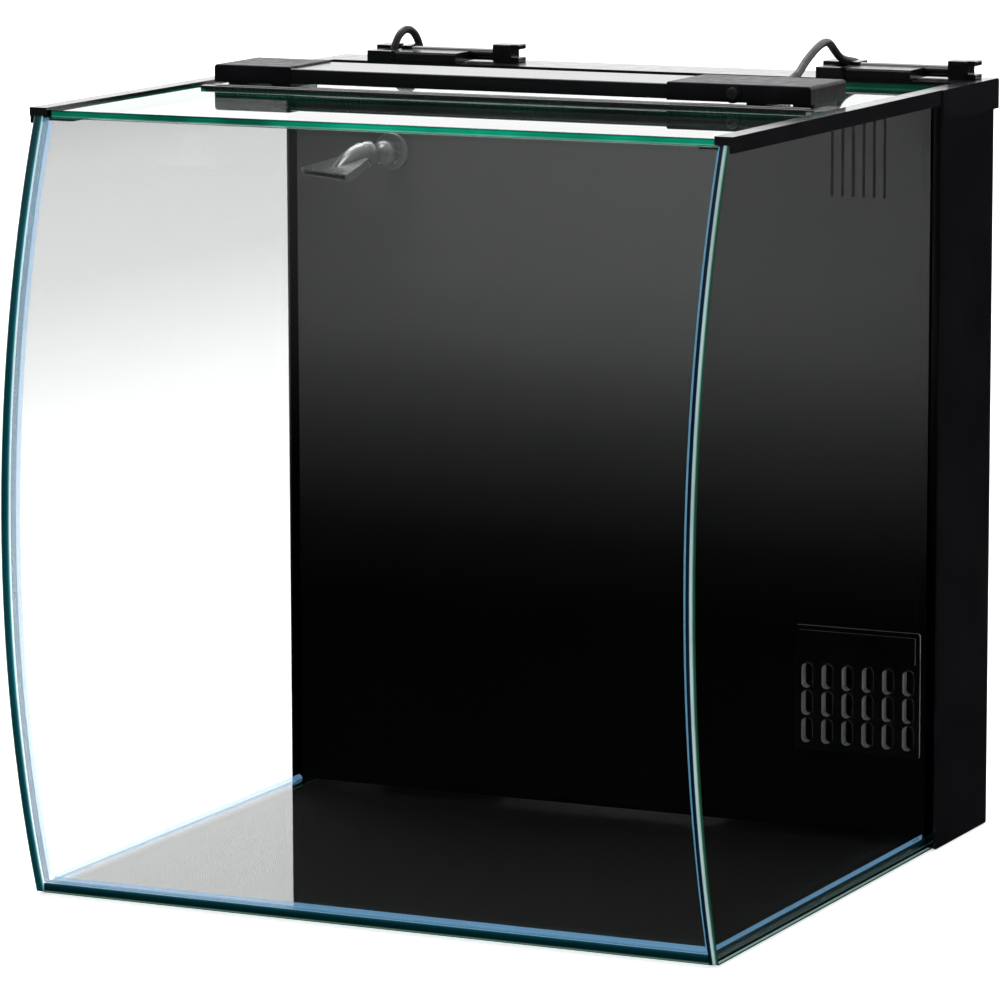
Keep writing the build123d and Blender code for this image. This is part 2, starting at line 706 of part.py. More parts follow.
def media_basket():
    """An open basket on four feet, with slots in its floor and two long sides."""
    wall = 2.0
    body = block(basket_x, basket_y, basket_z)
    body = fillet(body.edges().filter_by(Axis.Z), 4)
    inside = block(
        (basket_x[0] + wall, basket_x[1] - wall),
        (basket_y[0] + wall, basket_y[1] - wall),
        (basket_z[0] + wall, basket_z[1] + 1),
    )
    body = body - fillet(inside.edges().filter_by(Axis.Z), 3)
    for i in range(9):
        x = basket_x[0] + 12 + i * 12.5
        floor_slot = (basket_z[0] - 1, basket_z[0] + 3)
        wall_slot = (basket_z[0] + 20, basket_z[0] + 100)
        body = body - block((x - 2, x + 2), (basket_y[0] + 8, basket_y[1] - 8), floor_slot)
        body = body - block((x - 2, x + 2), (basket_y[0] - 1, basket_y[1] + 1), wall_slot)
    for x in (basket_x[0] + 8, basket_x[1] - 8):
        for y in (basket_y[0] + 8, basket_y[1] - 8):
            body = body + block((x - 4, x + 4), (y - 4, y + 4), (floor_top, basket_z[0] + 1))
    return body


def media_block(low, high, radius):
    inset = 2.6
    body = block(
        (basket_x[0] + inset, basket_x[1] - inset),
        (basket_y[0] + inset, basket_y[1] - inset),
        (basket_z[0] + low, basket_z[0] + high),
    )
    return fillet(body.edges(), radius)


# ---------------------------------------------------------------------- cords

behind = rear_y + 3
coil_turn_r = 27.5
tie_thick = 0.7


def coil(centre, turns_wide, turns_high):
    """The outer shape of a neat coil, lying flat on its tie."""
    wide, high = turns_wide * cord_dia, turns_high * cord_dia
    seat = Pos(centre[0], centre[1], tie_thick + 0.2 + high / 2)
    body = seat * Cylinder(coil_turn_r + wide / 2, high)
    body = body - seat * Cylinder(coil_turn_r - wide / 2, high + 2)
    return fillet(body.edges(), cord_dia * 0.4)


def cord_tube(points, name):
    """A cord along straight runs joined by arcs as large as the runs allow."""
    route = [Vector(*p) for p in points]
    radii = []
    for before, at, after in zip(route, route[1:], route[2:]):
        turn = radians((at - before).get_angle(after - at))
        shorter = min((at - before).length, (after - at).length)
        radii.append(0.45 * shorter / tan(turn / 2))
    path = FilletPolyline(*points, radius=radii)
    print(name, "smallest radius", round(min(radii), 1), "length", round(path.length, 1))
    start = Plane(origin=path @ 0, z_dir=path % 0)
    tube = sweep(start * Circle(cord_dia / 2), path)
    print(name, "volume over section times length",
          round(tube.volume / (pi * cord_dia ** 2 / 4 * path.length), 4))
    return tube


coil_y = behind + 44.0
light_coil_at = (notch_x(flap_left_x[1]) - 45.0, coil_y)
pump_coil_at = (notch_x(flap_left_x[0]) + 45.0, coil_y)
light_plug_at = (light_coil_at[0] - 124.0, coil_y + 15.0)
pump_plug_at = (pump_coil_at[0] + 106.0, coil_y - 13.0)

light_route = [
    (156.0, 57.9, 483.6), (155.4, 72.0, 484.4), (153.2, 88.0, 488.4), (150.8, 104.0, 493.6),
    (148.4, 122.0, 498.2), (145.2, 140.0, 500.8), (141.6, 158.0, 501.6), (137.8, 175.0, 499.6),
    (134.6, 190.0, 494.0), (133.2, 204.0, 487.6), (133.0, 218.0, 485.0), (133.0, 231.0, 483.6),
    (133.1, 241.5, 478.0), (133.3, 247.2, 467.0), (133.3, 249.0, 450.0), (132.8, 248.4, 422.0),
    (132.6, 246.8, 372.0), (133.2, 245.4, 316.0), (133.9, 244.8, 258.0), (133.6, 245.4, 200.0),
    (132.9, 246.2, 142.0), (132.8, 247.4, 88.0), (133.3, 248.8, 50.0), (133.0, 251.2, 27.0),
    (131.4, 257.2, 11.0), (127.4, 265.6, 4.0), (122.0, 273.2, 3.4), (117.4, 284.0, 3.4),
]

pump_route = [
    (-100.0, 196.0, 68.4), (-101.0, 197.0, 84.0), (-106.0, 200.0, 110.0), (-116.0, 203.6, 150.0),
    (-130.0, 205.4, 198.0), (-146.0, 205.2, 249.0), (-161.0, 204.4, 302.0), (-172.0, 203.4, 356.0),
    (-179.4, 202.6, 408.0), (-181.8, 202.4, 444.0), (-182.2, 202.8, 466.0), (-181.8, 205.4, 481.6),
    (-181.2, 213.0, 492.2), (-180.8, 224.6, 495.4), (-180.6, 235.6, 491.4), (-180.6, 243.4, 481.6),
    (-180.6, 247.2, 467.0), (-180.9, 247.8, 446.0), (-181.3, 246.6, 412.0), (-181.6, 245.4, 358.0),
    (-181.0, 244.8, 300.0), (-180.3, 245.4, 242.0), (-180.9, 246.2, 186.0), (-181.6, 246.6, 130.0),
    (-181.6, 247.4, 80.0), (-181.0, 248.8, 46.0), (-180.6, 251.6, 25.0), (-179.0, 257.6, 10.4),
    (-175.2, 266.0, 4.0), (-170.2, 273.6, 3.4), (-166.0, 284.4, 3.4),
]

light_tail = [
    (88.0, 306.5, 8.4), (72.0, 306.4, 6.6), (56.0, 303.4, 3.6), (40.0, 297.8, 3.4),
    (24.0, 293.6, 7.6), (9.0, 292.0, 11.8), (-4.0, 291.6, 12.1),
]

pump_tail = [
    (-137.0, 306.5, 8.4), (-121.0, 306.0, 6.4), (-106.0, 299.0, 3.6), (-96.0, 286.4, 3.4),
    (-85.0, 274.2, 6.0), (-71.0, 266.4, 9.2), (-58.0, 263.8, 9.6),
]


def plug(centre, wide, deep, high, facing):
    """A two-blade mains plug lying on its side, with the cord's sleeve behind it."""
    x, y = centre
    middle = high / 2 + 0.1
    body = block((-wide / 2, wide / 2), (-deep / 2, deep / 2), (0.2, high))
    body = fillet(body.edges().filter_by(Axis.X), 4.0)
    shoulder = Plane(origin=(-wide / 2, 0, middle), z_dir=(-1, 0, 0))
    body = body + loft([shoulder * Circle(5.4), shoulder.offset(20) * Circle(3.1)])
    blades = [
        block((wide / 2, wide / 2 + 16), (side - 0.75, side + 0.75), (middle - 3, middle + 3))
        for side in (-6.35, 6.35)
    ]
    whole = Compound([body] + blades)
    return Pos(x, y, 0) * (whole if facing > 0 else mirrored(whole))


def cord_ties():
    """A flat strap round each coil."""
    ties = []
    low, high = 0.1, tie_thick + 0.4 + 3 * cord_dia
    for x, y in (light_coil_at, pump_coil_at):
        near = y - coil_turn_r
        outside = block((x - 3, x + 3), (near - 7, near + 7), (low, high + tie_thick))
        hole = block((x - 5, x + 5), (near - 6.2, near + 6.2), (low + tie_thick, high))
        ties.append(outside - hole)
    return Compound(ties)


# --------------------------------------------------------------------- output

def main():
    os.makedirs("parts", exist_ok=True)
    right_flap_x = flap_left_x[1]
    left_flap_x = flap_left_x[0]
    nodes = {
        "leveling_mat": leveling_mat(),
        "bottom_glass": bottom_glass(),
        "left_glass": mirrored(side_glass()),
        "right_glass": side_glass(),
        "front_glass": front_glass(),
        "back_glass": back_glass(),
        "silicone_seams": silicone_seams(),
        "silicone_beads": silicone_beads(),
        "left_side_cover": mirrored(side_cover()),
        "right_side_cover": side_cover(),
        "left_rail": mirrored(side_rail()),
        "right_rail": side_rail(),
        "rear_deck": rear_deck(),
        "left_flap": service_flap(left_flap_x),
        "right_flap": service_flap(right_flap_x),
        "left_flap_bracket": flap_bracket(left_flap_x),
        "right_flap_bracket": flap_bracket(right_flap_x),
        "left_flap_pin": flap_pin(left_flap_x),
        "right_flap_pin": flap_pin(right_flap_x),
        "partition": partition(),
        "intake_grille": intake_grille(),
        "pump_divider": chamber_divider(-73.0, floor_top + 45, 440),
        "media_divider": chamber_divider(75.0, floor_top, 415),
        "front_lid": front_lid(),
        "rear_lid": rear_lid(),
        "lid_clip": lid_clip(),
        "hinge_strip": hinge_strip(),
        "light_housing": light_housing(),
        "light_left_cap": left_cap(),
        "light_right_cap": right_cap(),
        "light_lens": light_lens(),
        "led_board": led_board(),
        "light_feet": light_feet(),
        "light_gland": light_gland(),
        "power_button": power_button(),
        "return_socket": return_socket(),
        "swivel_link": swivel_link(),
        "return_nozzle": return_nozzle(),
        "pump_body": pump_body(),
        "pump_shaft": pump_shaft(),
        "impeller": impeller(),
        "pump_cover": pump_cover(),
        "flow_slider": flow_slider(),
        "pump_gland": pump_gland(),
        "suction_cups": suction_cups(),
        "return_pipe": return_pipe(),
        "return_elbow": return_elbow(),
        "media_basket": media_basket(),
        "filter_sponge": media_block(3, 100, 6),
        "ceramic_media": media_block(101, 195, 10),
        "carbon_bag": media_block(196, 285, 10),
        "light_cord": cord_tube(light_route, "light cord"),
        "pump_cord": cord_tube(pump_route, "pump cord"),
        "light_tail": cord_tube(light_tail, "light tail"),
        "pump_tail": cord_tube(pump_tail, "pump tail"),
        "light_coil": coil(light_coil_at, 2, 3),
        "pump_coil": coil(pump_coil_at, 2, 3),
        "light_plug": plug(light_plug_at, 36, 30, 24, -1),
        "pump_plug": plug(pump_plug_at, 28, 24, 19, 1),
        "cord_ties": cord_ties(),
    }
    for name, shape in nodes.items():
        export_step(shape, f"parts/{name}.step")


main()
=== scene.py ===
import bmesh
import bpy
import math
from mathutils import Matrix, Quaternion, Vector


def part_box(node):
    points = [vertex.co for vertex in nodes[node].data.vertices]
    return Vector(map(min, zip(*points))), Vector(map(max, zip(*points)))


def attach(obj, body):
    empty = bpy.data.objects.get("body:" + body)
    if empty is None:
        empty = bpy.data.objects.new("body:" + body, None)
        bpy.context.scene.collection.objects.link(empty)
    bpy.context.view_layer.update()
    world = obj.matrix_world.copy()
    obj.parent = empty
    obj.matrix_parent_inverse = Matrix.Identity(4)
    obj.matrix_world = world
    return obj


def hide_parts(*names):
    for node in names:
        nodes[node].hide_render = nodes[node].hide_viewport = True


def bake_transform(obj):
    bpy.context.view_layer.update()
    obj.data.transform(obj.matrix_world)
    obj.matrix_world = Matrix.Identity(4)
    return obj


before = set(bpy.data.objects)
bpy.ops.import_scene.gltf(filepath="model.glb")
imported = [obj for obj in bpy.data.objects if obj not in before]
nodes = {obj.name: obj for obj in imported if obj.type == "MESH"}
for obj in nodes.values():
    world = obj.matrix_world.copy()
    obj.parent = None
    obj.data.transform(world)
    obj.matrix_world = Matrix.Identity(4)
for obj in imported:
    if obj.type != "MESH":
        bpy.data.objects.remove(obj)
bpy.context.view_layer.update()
print("frame loaded:", len(nodes), "nodes")


# camera

cameraFacts = {
    "place": (1.4957, -3.1465, 0.7905),
    "target": (0.0011, -0.0175, 0.2302),
    "lens": 207.0,
    "sensor": 36.0,
    "roll": -0.16,
}


def addCamera(facts):
    place = Vector(facts["place"])
    bpy.ops.object.camera_add(location=place)
    camera = bpy.context.object
    camera.name = "viewCamera"
    camera.data.lens = facts["lens"]
    camera.data.sensor_width = facts["sensor"]
    camera.data.clip_end = 100.0
    look = (Vector(facts["target"]) - place).to_track_quat("-Z", "Y")
    camera.rotation_mode = "QUATERNION"
    camera.rotation_quaternion = look @ Quaternion((0, 0, 1), math.radians(facts["roll"]))
    bpy.context.scene.camera = camera


addCamera(cameraFacts)


# small helpers for pieces

def clearSelection():
    if bpy.context.object and bpy.context.object.mode != "OBJECT":
        bpy.ops.object.mode_set(mode="OBJECT")
    bpy.ops.object.select_all(action="DESELECT")


# cords

cordFacts = {
    "radius": 0.0025,
    "turnRadius": 0.0272,   # of the coil, to the middle of its two rows
    "lowest": 0.0034,       # centre of the coil's first layer
    "pointsPerTurn": 16,
}
coilOrder = ((1, 0), (-1, 0), (-1, 1), (-1, 2), (1, 2), (1, 1))  # row outwards or inwards, layer

lightRoute = [
    (0.1560, 0.0579, 0.4836), (0.1554, 0.0720, 0.4844), (0.1532, 0.0880, 0.4884),
    (0.1508, 0.1040, 0.4936), (0.1484, 0.1220, 0.4982), (0.1452, 0.1400, 0.5008),
    (0.1416, 0.1580, 0.5016), (0.1378, 0.1750, 0.4996), (0.1346, 0.1900, 0.4940),
    (0.1332, 0.2040, 0.4876), (0.1330, 0.2180, 0.4850), (0.1330, 0.2310, 0.4836),
    (0.1331, 0.2415, 0.4780), (0.1333, 0.2472, 0.4670), (0.1333, 0.2490, 0.4500),
    (0.1328, 0.2484, 0.4220), (0.1326, 0.2468, 0.3720), (0.1332, 0.2454, 0.3160),
    (0.1339, 0.2448, 0.2580), (0.1336, 0.2454, 0.2000), (0.1329, 0.2462, 0.1420),
    (0.1328, 0.2474, 0.0880), (0.1333, 0.2488, 0.0500), (0.1330, 0.2512, 0.0270),
    (0.1314, 0.2572, 0.0110), (0.1274, 0.2656, 0.0040), (0.1220, 0.2732, 0.0034),
]
lightTail = [
    (0.0720, 0.3064, 0.0066), (0.0560, 0.3034, 0.0036), (0.0400, 0.2978, 0.0034),
    (0.0240, 0.2936, 0.0076), (0.0090, 0.2920, 0.0118), (-0.0040, 0.2916, 0.0121),
]
lightCoil = {"centre": (0.088, 0.2765), "start": 14.3, "sweep": 5 * 360 + 75.7}

pumpRoute = [
    (-0.1000, 0.1960, 0.0684), (-0.1010, 0.1970, 0.0840), (-0.1060, 0.2000, 0.1100),
    (-0.1160, 0.2036, 0.1500), (-0.1300, 0.2054, 0.1980), (-0.1460, 0.2052, 0.2490),
    (-0.1610, 0.2044, 0.3020), (-0.1720, 0.2034, 0.3560), (-0.1794, 0.2026, 0.4080),
    (-0.1818, 0.2024, 0.4440), (-0.1822, 0.2028, 0.4660), (-0.1818, 0.2054, 0.4816),
    (-0.1812, 0.2130, 0.4922), (-0.1808, 0.2246, 0.4954), (-0.1806, 0.2356, 0.4914),
    (-0.1806, 0.2434, 0.4816), (-0.1806, 0.2472, 0.4670), (-0.1809, 0.2478, 0.4460),
    (-0.1813, 0.2466, 0.4120), (-0.1816, 0.2454, 0.3580), (-0.1810, 0.2448, 0.3000),
    (-0.1803, 0.2454, 0.2420), (-0.1809, 0.2462, 0.1860), (-0.1816, 0.2466, 0.1300),
    (-0.1816, 0.2474, 0.0800), (-0.1810, 0.2488, 0.0460), (-0.1806, 0.2516, 0.0250),
    (-0.1790, 0.2576, 0.0104), (-0.1752, 0.2660, 0.0040), (-0.1702, 0.2736, 0.0034),
]
pumpTail = [
    (-0.1210, 0.3060, 0.0064), (-0.1060, 0.2990, 0.0036), (-0.0960, 0.2864, 0.0034),
    (-0.0850, 0.2742, 0.0060), (-0.0710, 0.2664, 0.0092), (-0.0580, 0.2638, 0.0096),
]
pumpCoil = {"centre": (-0.137, 0.2765), "start": 165.2, "sweep": -(5 * 360 + 75.2)}


# row and layer of the coil at a share of its whole length, changing over smoothly
def coilPlace(share):
    at = share * len(coilOrder) - 0.5
    before = max(0, min(len(coilOrder) - 1, math.floor(at)))
    after = min(len(coilOrder) - 1, before + 1)
    part = min(1, max(0, (at - before - 0.38) / 0.24)) if at > 0 else 0
    ease = part * part * (3 - 2 * part)
    row = coilOrder[before][0] + (coilOrder[after][0] - coilOrder[before][0]) * ease
    layer = coilOrder[before][1] + (coilOrder[after][1] - coilOrder[before][1]) * ease
    return row, layer


def coilPoints(coil, facts):
    steps = round(abs(coil["sweep"]) / 360 * facts["pointsPerTurn"])
    widen = 1 / math.cos(math.pi / facts["pointsPerTurn"])  # the spline cuts inside its points
    points = []
    for step in range(steps + 1):
        share = step / steps
        angle = math.radians(coil["start"] + coil["sweep"] * share)
        row, layer = coilPlace(share)
        reach = (facts["turnRadius"] + row * facts["radius"]) * widen
        x = coil["centre"][0] + reach * math.cos(angle)
        y = coil["centre"][1] + reach * math.sin(angle)
        points.append((x, y, facts["lowest"] + layer * 2 * facts["radius"]))
    return points


def splineCurve(name, points, depth):
    data = bpy.data.curves.new(name, "CURVE")
    data.dimensions = "3D"
    data.resolution_u = 6
    data.bevel_depth = depth
    data.bevel_resolution = 4
    data.use_fill_caps = True
    spline = data.splines.new("NURBS")
    spline.points.add(len(points) - 1)
    for point, place in zip(spline.points, points):
        point.co = (*place, 1.0)
    spline.order_u = 3
    spline.use_endpoint_u = True
    curve = bpy.data.objects.new(name, data)
    bpy.context.scene.collection.objects.link(curve)
    return curve


# the smooth line that the cord's points give
def lineOf(points):
    bare = splineCurve("bareLine", points, 0.0)
    mesh = bpy.data.meshes.new_from_object(bare)
    line = [v.co.copy() for v in mesh.vertices]
    bpy.data.meshes.remove(mesh)
    bpy.data.curves.remove(bare.data)
    return line


def lengthOf(line):
    return sum((b - a).length for a, b in zip(line, line[1:]))


# a mesh tube whose rings stand square to the line
def tubeAlong(name, line, radii):
    mesh = bpy.data.meshes.new(name)
    shell = bmesh.new()
    sides = 12
    across = Vector((1, 0, 0))
    rings = []
    for i, place in enumerate(line):
        ahead = line[min(i + 1, len(line) - 1)] - line[max(i - 1, 0)]
        ahead.normalize()
        across = (across - ahead * across.dot(ahead)).normalized()
        other = ahead.cross(across)
        ring = []
        for k in range(sides):
            turn = 2 * math.pi * k / sides
            outward = across * math.cos(turn) + other * math.sin(turn)
            ring.append(shell.verts.new(place + radii[i] * outward))
        rings.append(ring)
    for one, two in zip(rings, rings[1:]):
        for k in range(sides):
            n = (k + 1) % sides
            shell.faces.new((one[k], one[n], two[n], two[k]))
    shell.faces.new(list(reversed(rings[0])))
    shell.faces.new(rings[-1])
    bmesh.ops.recalc_face_normals(shell, faces=shell.faces)
    for face in shell.faces:
        face.smooth = len(face.verts) == 4
    shell.to_mesh(mesh)
    shell.free()
    piece = bpy.data.objects.new(name, mesh)
    bpy.context.scene.collection.objects.link(piece)
    return piece


lightPoints = lightRoute + coilPoints(lightCoil, cordFacts) + lightTail
pumpPoints = pumpRoute + coilPoints(pumpCoil, cordFacts) + pumpTail
lightLine = lineOf(lightPoints)
pumpLine = lineOf(pumpPoints)
lightCordPiece = tubeAlong("lightCord", lightLine, [cordFacts["radius"]] * len(lightLine))
pumpCordPiece = splineCurve("pumpCord", pumpPoints, cordFacts["radius"])
print("cords:", round(lengthOf(lightLine), 3), "m and", round(lengthOf(pumpLine), 3), "m")

sleeveFacts = {"length": 0.024, "thick": 0.0036, "thin": 0.0028, "ridges": 6}


# a tapered, ridged sleeve over the first stretch of a cord
def strainSleeve(name, line, facts):
    stretch = [line[0]]
    run = 0.0
    for a, b in zip(line, line[1:]):
        pieces = max(1, round((b - a).length / 0.0004))
        for k in range(1, pieces + 1):
            stretch.append(a.lerp(b, k / pieces))
            run += (b - a).length / pieces
            if run >= facts["length"]:
                break
        if run >= facts["length"]:
            break
    radii = []
    for i in range(len(stretch)):
        share = i / (len(stretch) - 1)
        groove = 0.00035 if math.sin(share * facts["ridges"] * 2 * math.pi) > 0.55 and share < 0.9 else 0.0
        radii.append(facts["thick"] + (facts["thin"] - facts["thick"]) * share - groove)
    return tubeAlong(name, stretch, radii)


lightSleeve = strainSleeve("lightCordSleeve", lightLine, sleeveFacts)
pumpSleeve = strainSleeve("pumpCordSleeve", pumpLine, sleeveFacts)


tieFacts = {"wide": 0.006, "thick": 0.0007, "corner": 0.0026, "tailLength": 0.012}


# a flat strap round a coil's bundle at its nearest side, with its loose end lying on top
def coilTie(name, centre, facts, cord):
    halfAcross = 2 * cord["radius"] + 0.0012
    low, high = cord["lowest"] - cord["radius"] - 0.0002, cord["lowest"] + 5 * cord["radius"] + 0.0002
    middle = Vector((centre[0], centre[1] - cord["turnRadius"], (low + high) / 2))
    tall = (high - low) / 2
    corner = facts["corner"]
    loop = []
    for quarter, (sideY, sideZ) in enumerate(((1, 1), (-1, 1), (-1, -1), (1, -1))):
        for k in range(7):
            turn = math.radians(90 * quarter + 15 * k)
            y = sideY * (halfAcross - corner) + corner * math.cos(turn)
            z = sideZ * (tall - corner) + corner * math.sin(turn)
            loop.append((y, z))
    shell = bmesh.new()
    rings = []
    for y, z in loop:
        out = Vector((0, y, z)).normalized() * facts["thick"]
        inner = middle + Vector((0, y, z))
        ring = []
        for x, push in ((-1, 0), (1, 0), (1, 1), (-1, 1)):
            ring.append(shell.verts.new(inner + Vector((x * facts["wide"] / 2, 0, 0)) + out * push))
        rings.append(ring)
    for one, two in zip(rings, rings[1:] + rings[:1]):
        for k in range(4):
            n = (k + 1) % 4
            shell.faces.new((one[k], one[n], two[n], two[k]))
    top = middle.z + tall + facts["thick"]
    corners = []
    for z in (top, top + facts["thick"]):
        for x, y in ((-1, 0.3), (1, 0.3), (1, 1), (-1, 1)):
            reach = halfAcross * 0.4 + facts["tailLength"] * (y - 0.3)
            place = (middle.x + x * facts["wide"] * 0.42, middle.y - halfAcross * 0.5 + reach, z)
            corners.append(shell.verts.new(place))
    for face in ((0, 3, 2, 1), (4, 5, 6, 7), (0, 1, 5, 4), (1, 2, 6, 5), (2, 3, 7, 6), (3, 0, 4, 7)):
        shell.faces.new([corners[k] for k in face])
    bmesh.ops.recalc_face_normals(shell, faces=shell.faces)
    mesh = bpy.data.meshes.new(name)
    shell.to_mesh(mesh)
    shell.free()
    piece = bpy.data.objects.new(name, mesh)
    bpy.context.scene.collection.objects.link(piece)
    bevel = piece.modifiers.new("edges", "BEVEL")
    bevel.width = 0.0002
    bevel.segments = 2
    return piece


lightTie = coilTie("lightTie", lightCoil["centre"], tieFacts, cordFacts)
pumpTie = coilTie("pumpTie", pumpCoil["centre"], tieFacts, cordFacts)

lightPlugFacts = {
    "body": ((-0.0540, 0.2765, 0.0002), (-0.0180, 0.3065, 0.0240)),
    "shoulder": (-0.0180, 0.0020),      # x where the cone leaves the body, x where the cord goes in
    "bladeReach": -0.0700,
    "axis": (0.2915, 0.0121),
}
pumpPlugFacts = {
    "body": ((-0.0450, 0.2515, 0.0002), (-0.0170, 0.2755, 0.0190)),
    "shoulder": (-0.0450, -0.0650),
    "bladeReach": -0.0010,
    "axis": (0.2635, 0.0096),
}
bladeGap = 0.00635


# a rounded plug body with grip ribs, a ribbed cone for the cord and two brass blades
def mainsPlug(name, facts):
    (x0, y0, z0), (x1, y1, z1) = facts["body"]
    centre = Vector(((x0 + x1) / 2, (y0 + y1) / 2, (z0 + z1) / 2))
    clearSelection()
    bpy.ops.mesh.primitive_cube_add(size=1, location=centre)
    body = bpy.context.object
    body.name = name
    for v in body.data.vertices:
        v.co = Vector((v.co.x * (x1 - x0), v.co.y * (y1 - y0), v.co.z * (z1 - z0)))
    rounding = body.modifiers.new("corners", "BEVEL")
    rounding.width = 0.0045
    rounding.segments = 5
    parts = [body]
    bladeSide = x0 if facts["bladeReach"] < x0 else x1
    toBlade = 1 if bladeSide == x1 else -1
    for k in range(5):
        x = centre.x - toBlade * ((x1 - x0) * 0.32 - k * 0.0034)
        for y in (y0, y1):
            bpy.ops.mesh.primitive_cylinder_add(
                vertices=16, radius=0.0009, depth=(z1 - z0) * 0.62, location=(x, y, centre.z))
            rib = bpy.context.object
            ribEnds = rib.modifiers.new("ends", "BEVEL")
            ribEnds.width = 0.0004
            parts.append(rib)
    start, end = facts["shoulder"]
    rings = 7
    for k in range(rings):
        share = k / (rings - 1)
        x = start + (end - start) * (0.04 + 0.90 * share)
        radius = 0.0054 + (0.0033 - 0.0054) * share
        bpy.ops.mesh.primitive_torus_add(
            major_segments=28, minor_segments=10, major_radius=radius - 0.0009, minor_radius=0.0009,
            location=(x, facts["axis"][0], facts["axis"][1]), rotation=(0, math.pi / 2, 0))
        parts.append(bpy.context.object)
    turn = -math.pi / 2 if end < start else math.pi / 2
    bpy.ops.mesh.primitive_cone_add(
        vertices=28, radius1=0.0046, radius2=0.0029, depth=abs(end - start),
        location=((start + end) / 2, facts["axis"][0], facts["axis"][1]), rotation=(0, turn, 0))
    parts.append(bpy.context.object)
    clearSelection()
    for part in parts:
        bpy.context.view_layer.objects.active = part
        part.select_set(True)
        for modifier in list(part.modifiers):
            bpy.ops.object.modifier_apply(modifier=modifier.name)
    bpy.context.view_layer.objects.active = body
    bpy.ops.object.join()
    bpy.ops.object.transform_apply(location=True, rotation=True, scale=True)
    bpy.ops.object.shade_smooth_by_angle(angle=math.radians(40))
    blades = []
    for side in (-1, 1):
        reach = facts["bladeReach"]
        bpy.ops.mesh.primitive_cube_add(
            size=1, location=((bladeSide + reach) / 2, facts["axis"][0] + side * bladeGap, facts["axis"][1]))
        blade = bpy.context.object
        for v in blade.data.vertices:
            v.co = Vector((v.co.x * abs(reach - bladeSide), v.co.y * 0.0015, v.co.z * 0.0063))
        tip = blade.modifiers.new("edges", "BEVEL")
        tip.width = 0.0005
        tip.segments = 2
        bpy.ops.object.modifier_apply(modifier="edges")
        blades.append(blade)
    clearSelection()
    for blade in blades:
        blade.select_set(True)
    bpy.context.view_layer.objects.active = blades[0]
    bpy.ops.object.join()
    bpy.ops.object.transform_apply(location=True, rotation=True, scale=True)
    blades[0].name = name + "Blades"
    return body, blades[0]


lightPlug, lightBlades = mainsPlug("lightPlug", lightPlugFacts)
pumpPlug, pumpBlades = mainsPlug("pumpPlug", pumpPlugFacts)
print("ties and plugs made")


# materials

def newMaterial(name):
    material = bpy.data.materials.new(name)
    material.use_nodes = True
    tree = material.node_tree
    tree.nodes.clear()
    output = tree.nodes.new("ShaderNodeOutputMaterial")
    return material, tree, output


def addNode(tree, kind, **settings):
    node = tree.nodes.new(kind)
    for key, value in settings.items():
        setattr(node, key, value)
    return node


def objectPlace(tree):
    return addNode(tree, "ShaderNodeTexCoord").outputs["Object"]


def noiseOn(tree, place, scale, detail=3.0):
    noise = addNode(tree, "ShaderNodeTexNoise")
    noise.inputs["Scale"].default_value = scale
    noise.inputs["Detail"].default_value = detail
    tree.links.new(place, noise.inputs["Vector"])
    return noise.outputs["Fac"]


def ranged(tree, value, low, high, outLow, outHigh, smooth=False):
    node = addNode(tree, "ShaderNodeMapRange")
    if smooth:
        node.interpolation_type = "SMOOTHSTEP"
    for socket, number in zip(("From Min", "From Max", "To Min", "To Max"), (low, high, outLow, outHigh)):
        node.inputs[socket].default_value = number
    tree.links.new(value, node.inputs["Value"])
    return node.outputs["Result"]


def mixColours(tree, factor, one, two):
    node = addNode(tree, "ShaderNodeMix", data_type="RGBA")
    tree.links.new(factor, node.inputs["Factor"])
    for socket, colour in ((6, one), (7, two)):
        if isinstance(colour, bpy.types.NodeSocket):
            tree.links.new(colour, node.inputs[socket])
        else:
            node.inputs[socket].default_value = (*colour, 1.0)
    return node.outputs[2]


def calc(tree, operation, *values):
    node = addNode(tree, "ShaderNodeMath", operation=operation)
    for i, value in enumerate(values):
        if isinstance(value, bpy.types.NodeSocket):
            tree.links.new(value, node.inputs[i])
        else:
            node.inputs[i].default_value = value
    return node.outputs["Value"]


def axisOf(tree, vector, axis):
    split = addNode(tree, "ShaderNodeSeparateXYZ")
    tree.links.new(vector, split.inputs["Vector"])
    return split.outputs[axis]


def bumped(tree, height, strength, depth):
    bump = addNode(tree, "ShaderNodeBump")
    bump.inputs["Strength"].default_value = strength
    bump.inputs["Distance"].default_value = depth
    tree.links.new(height, bump.inputs["Height"])
    return bump.outputs["Normal"]


# slow patches between two tones
def patchy(tree, place, scale, dark, light):
    return mixColours(tree, ranged(tree, noiseOn(tree, place, scale), 0.3, 0.7, 0.0, 1.0), dark, light)


# plastic, rubber or metal with a little mottling, uneven sheen and surface grain
def moulded(name, dark, light, rough, grainScale, grain, mottle=45.0, specular=0.5, metallic=0.0):
    material, tree, output = newMaterial(name)
    surface = addNode(tree, "ShaderNodeBsdfPrincipled")
    place = objectPlace(tree)
    tree.links.new(patchy(tree, place, mottle, dark, light), surface.inputs["Base Color"])
    wear = noiseOn(tree, place, mottle * 3.1, 5.0)
    tree.links.new(ranged(tree, wear, 0.3, 0.7, rough * 0.82, rough * 1.22), surface.inputs["Roughness"])
    height = noiseOn(tree, place, grainScale, 2.0)
    tree.links.new(bumped(tree, height, grain, 0.0002), surface.inputs["Normal"])
    surface.inputs["Specular IOR Level"].default_value = specular
    surface.inputs["Metallic"].default_value = metallic
    tree.links.new(surface.outputs["BSDF"], output.inputs["Surface"])
    return material


glassFacts = {
    "tint": (0.988, 0.996, 0.991),
    "headOn": 0.03,
    "edgeLimit": 0.7,
}


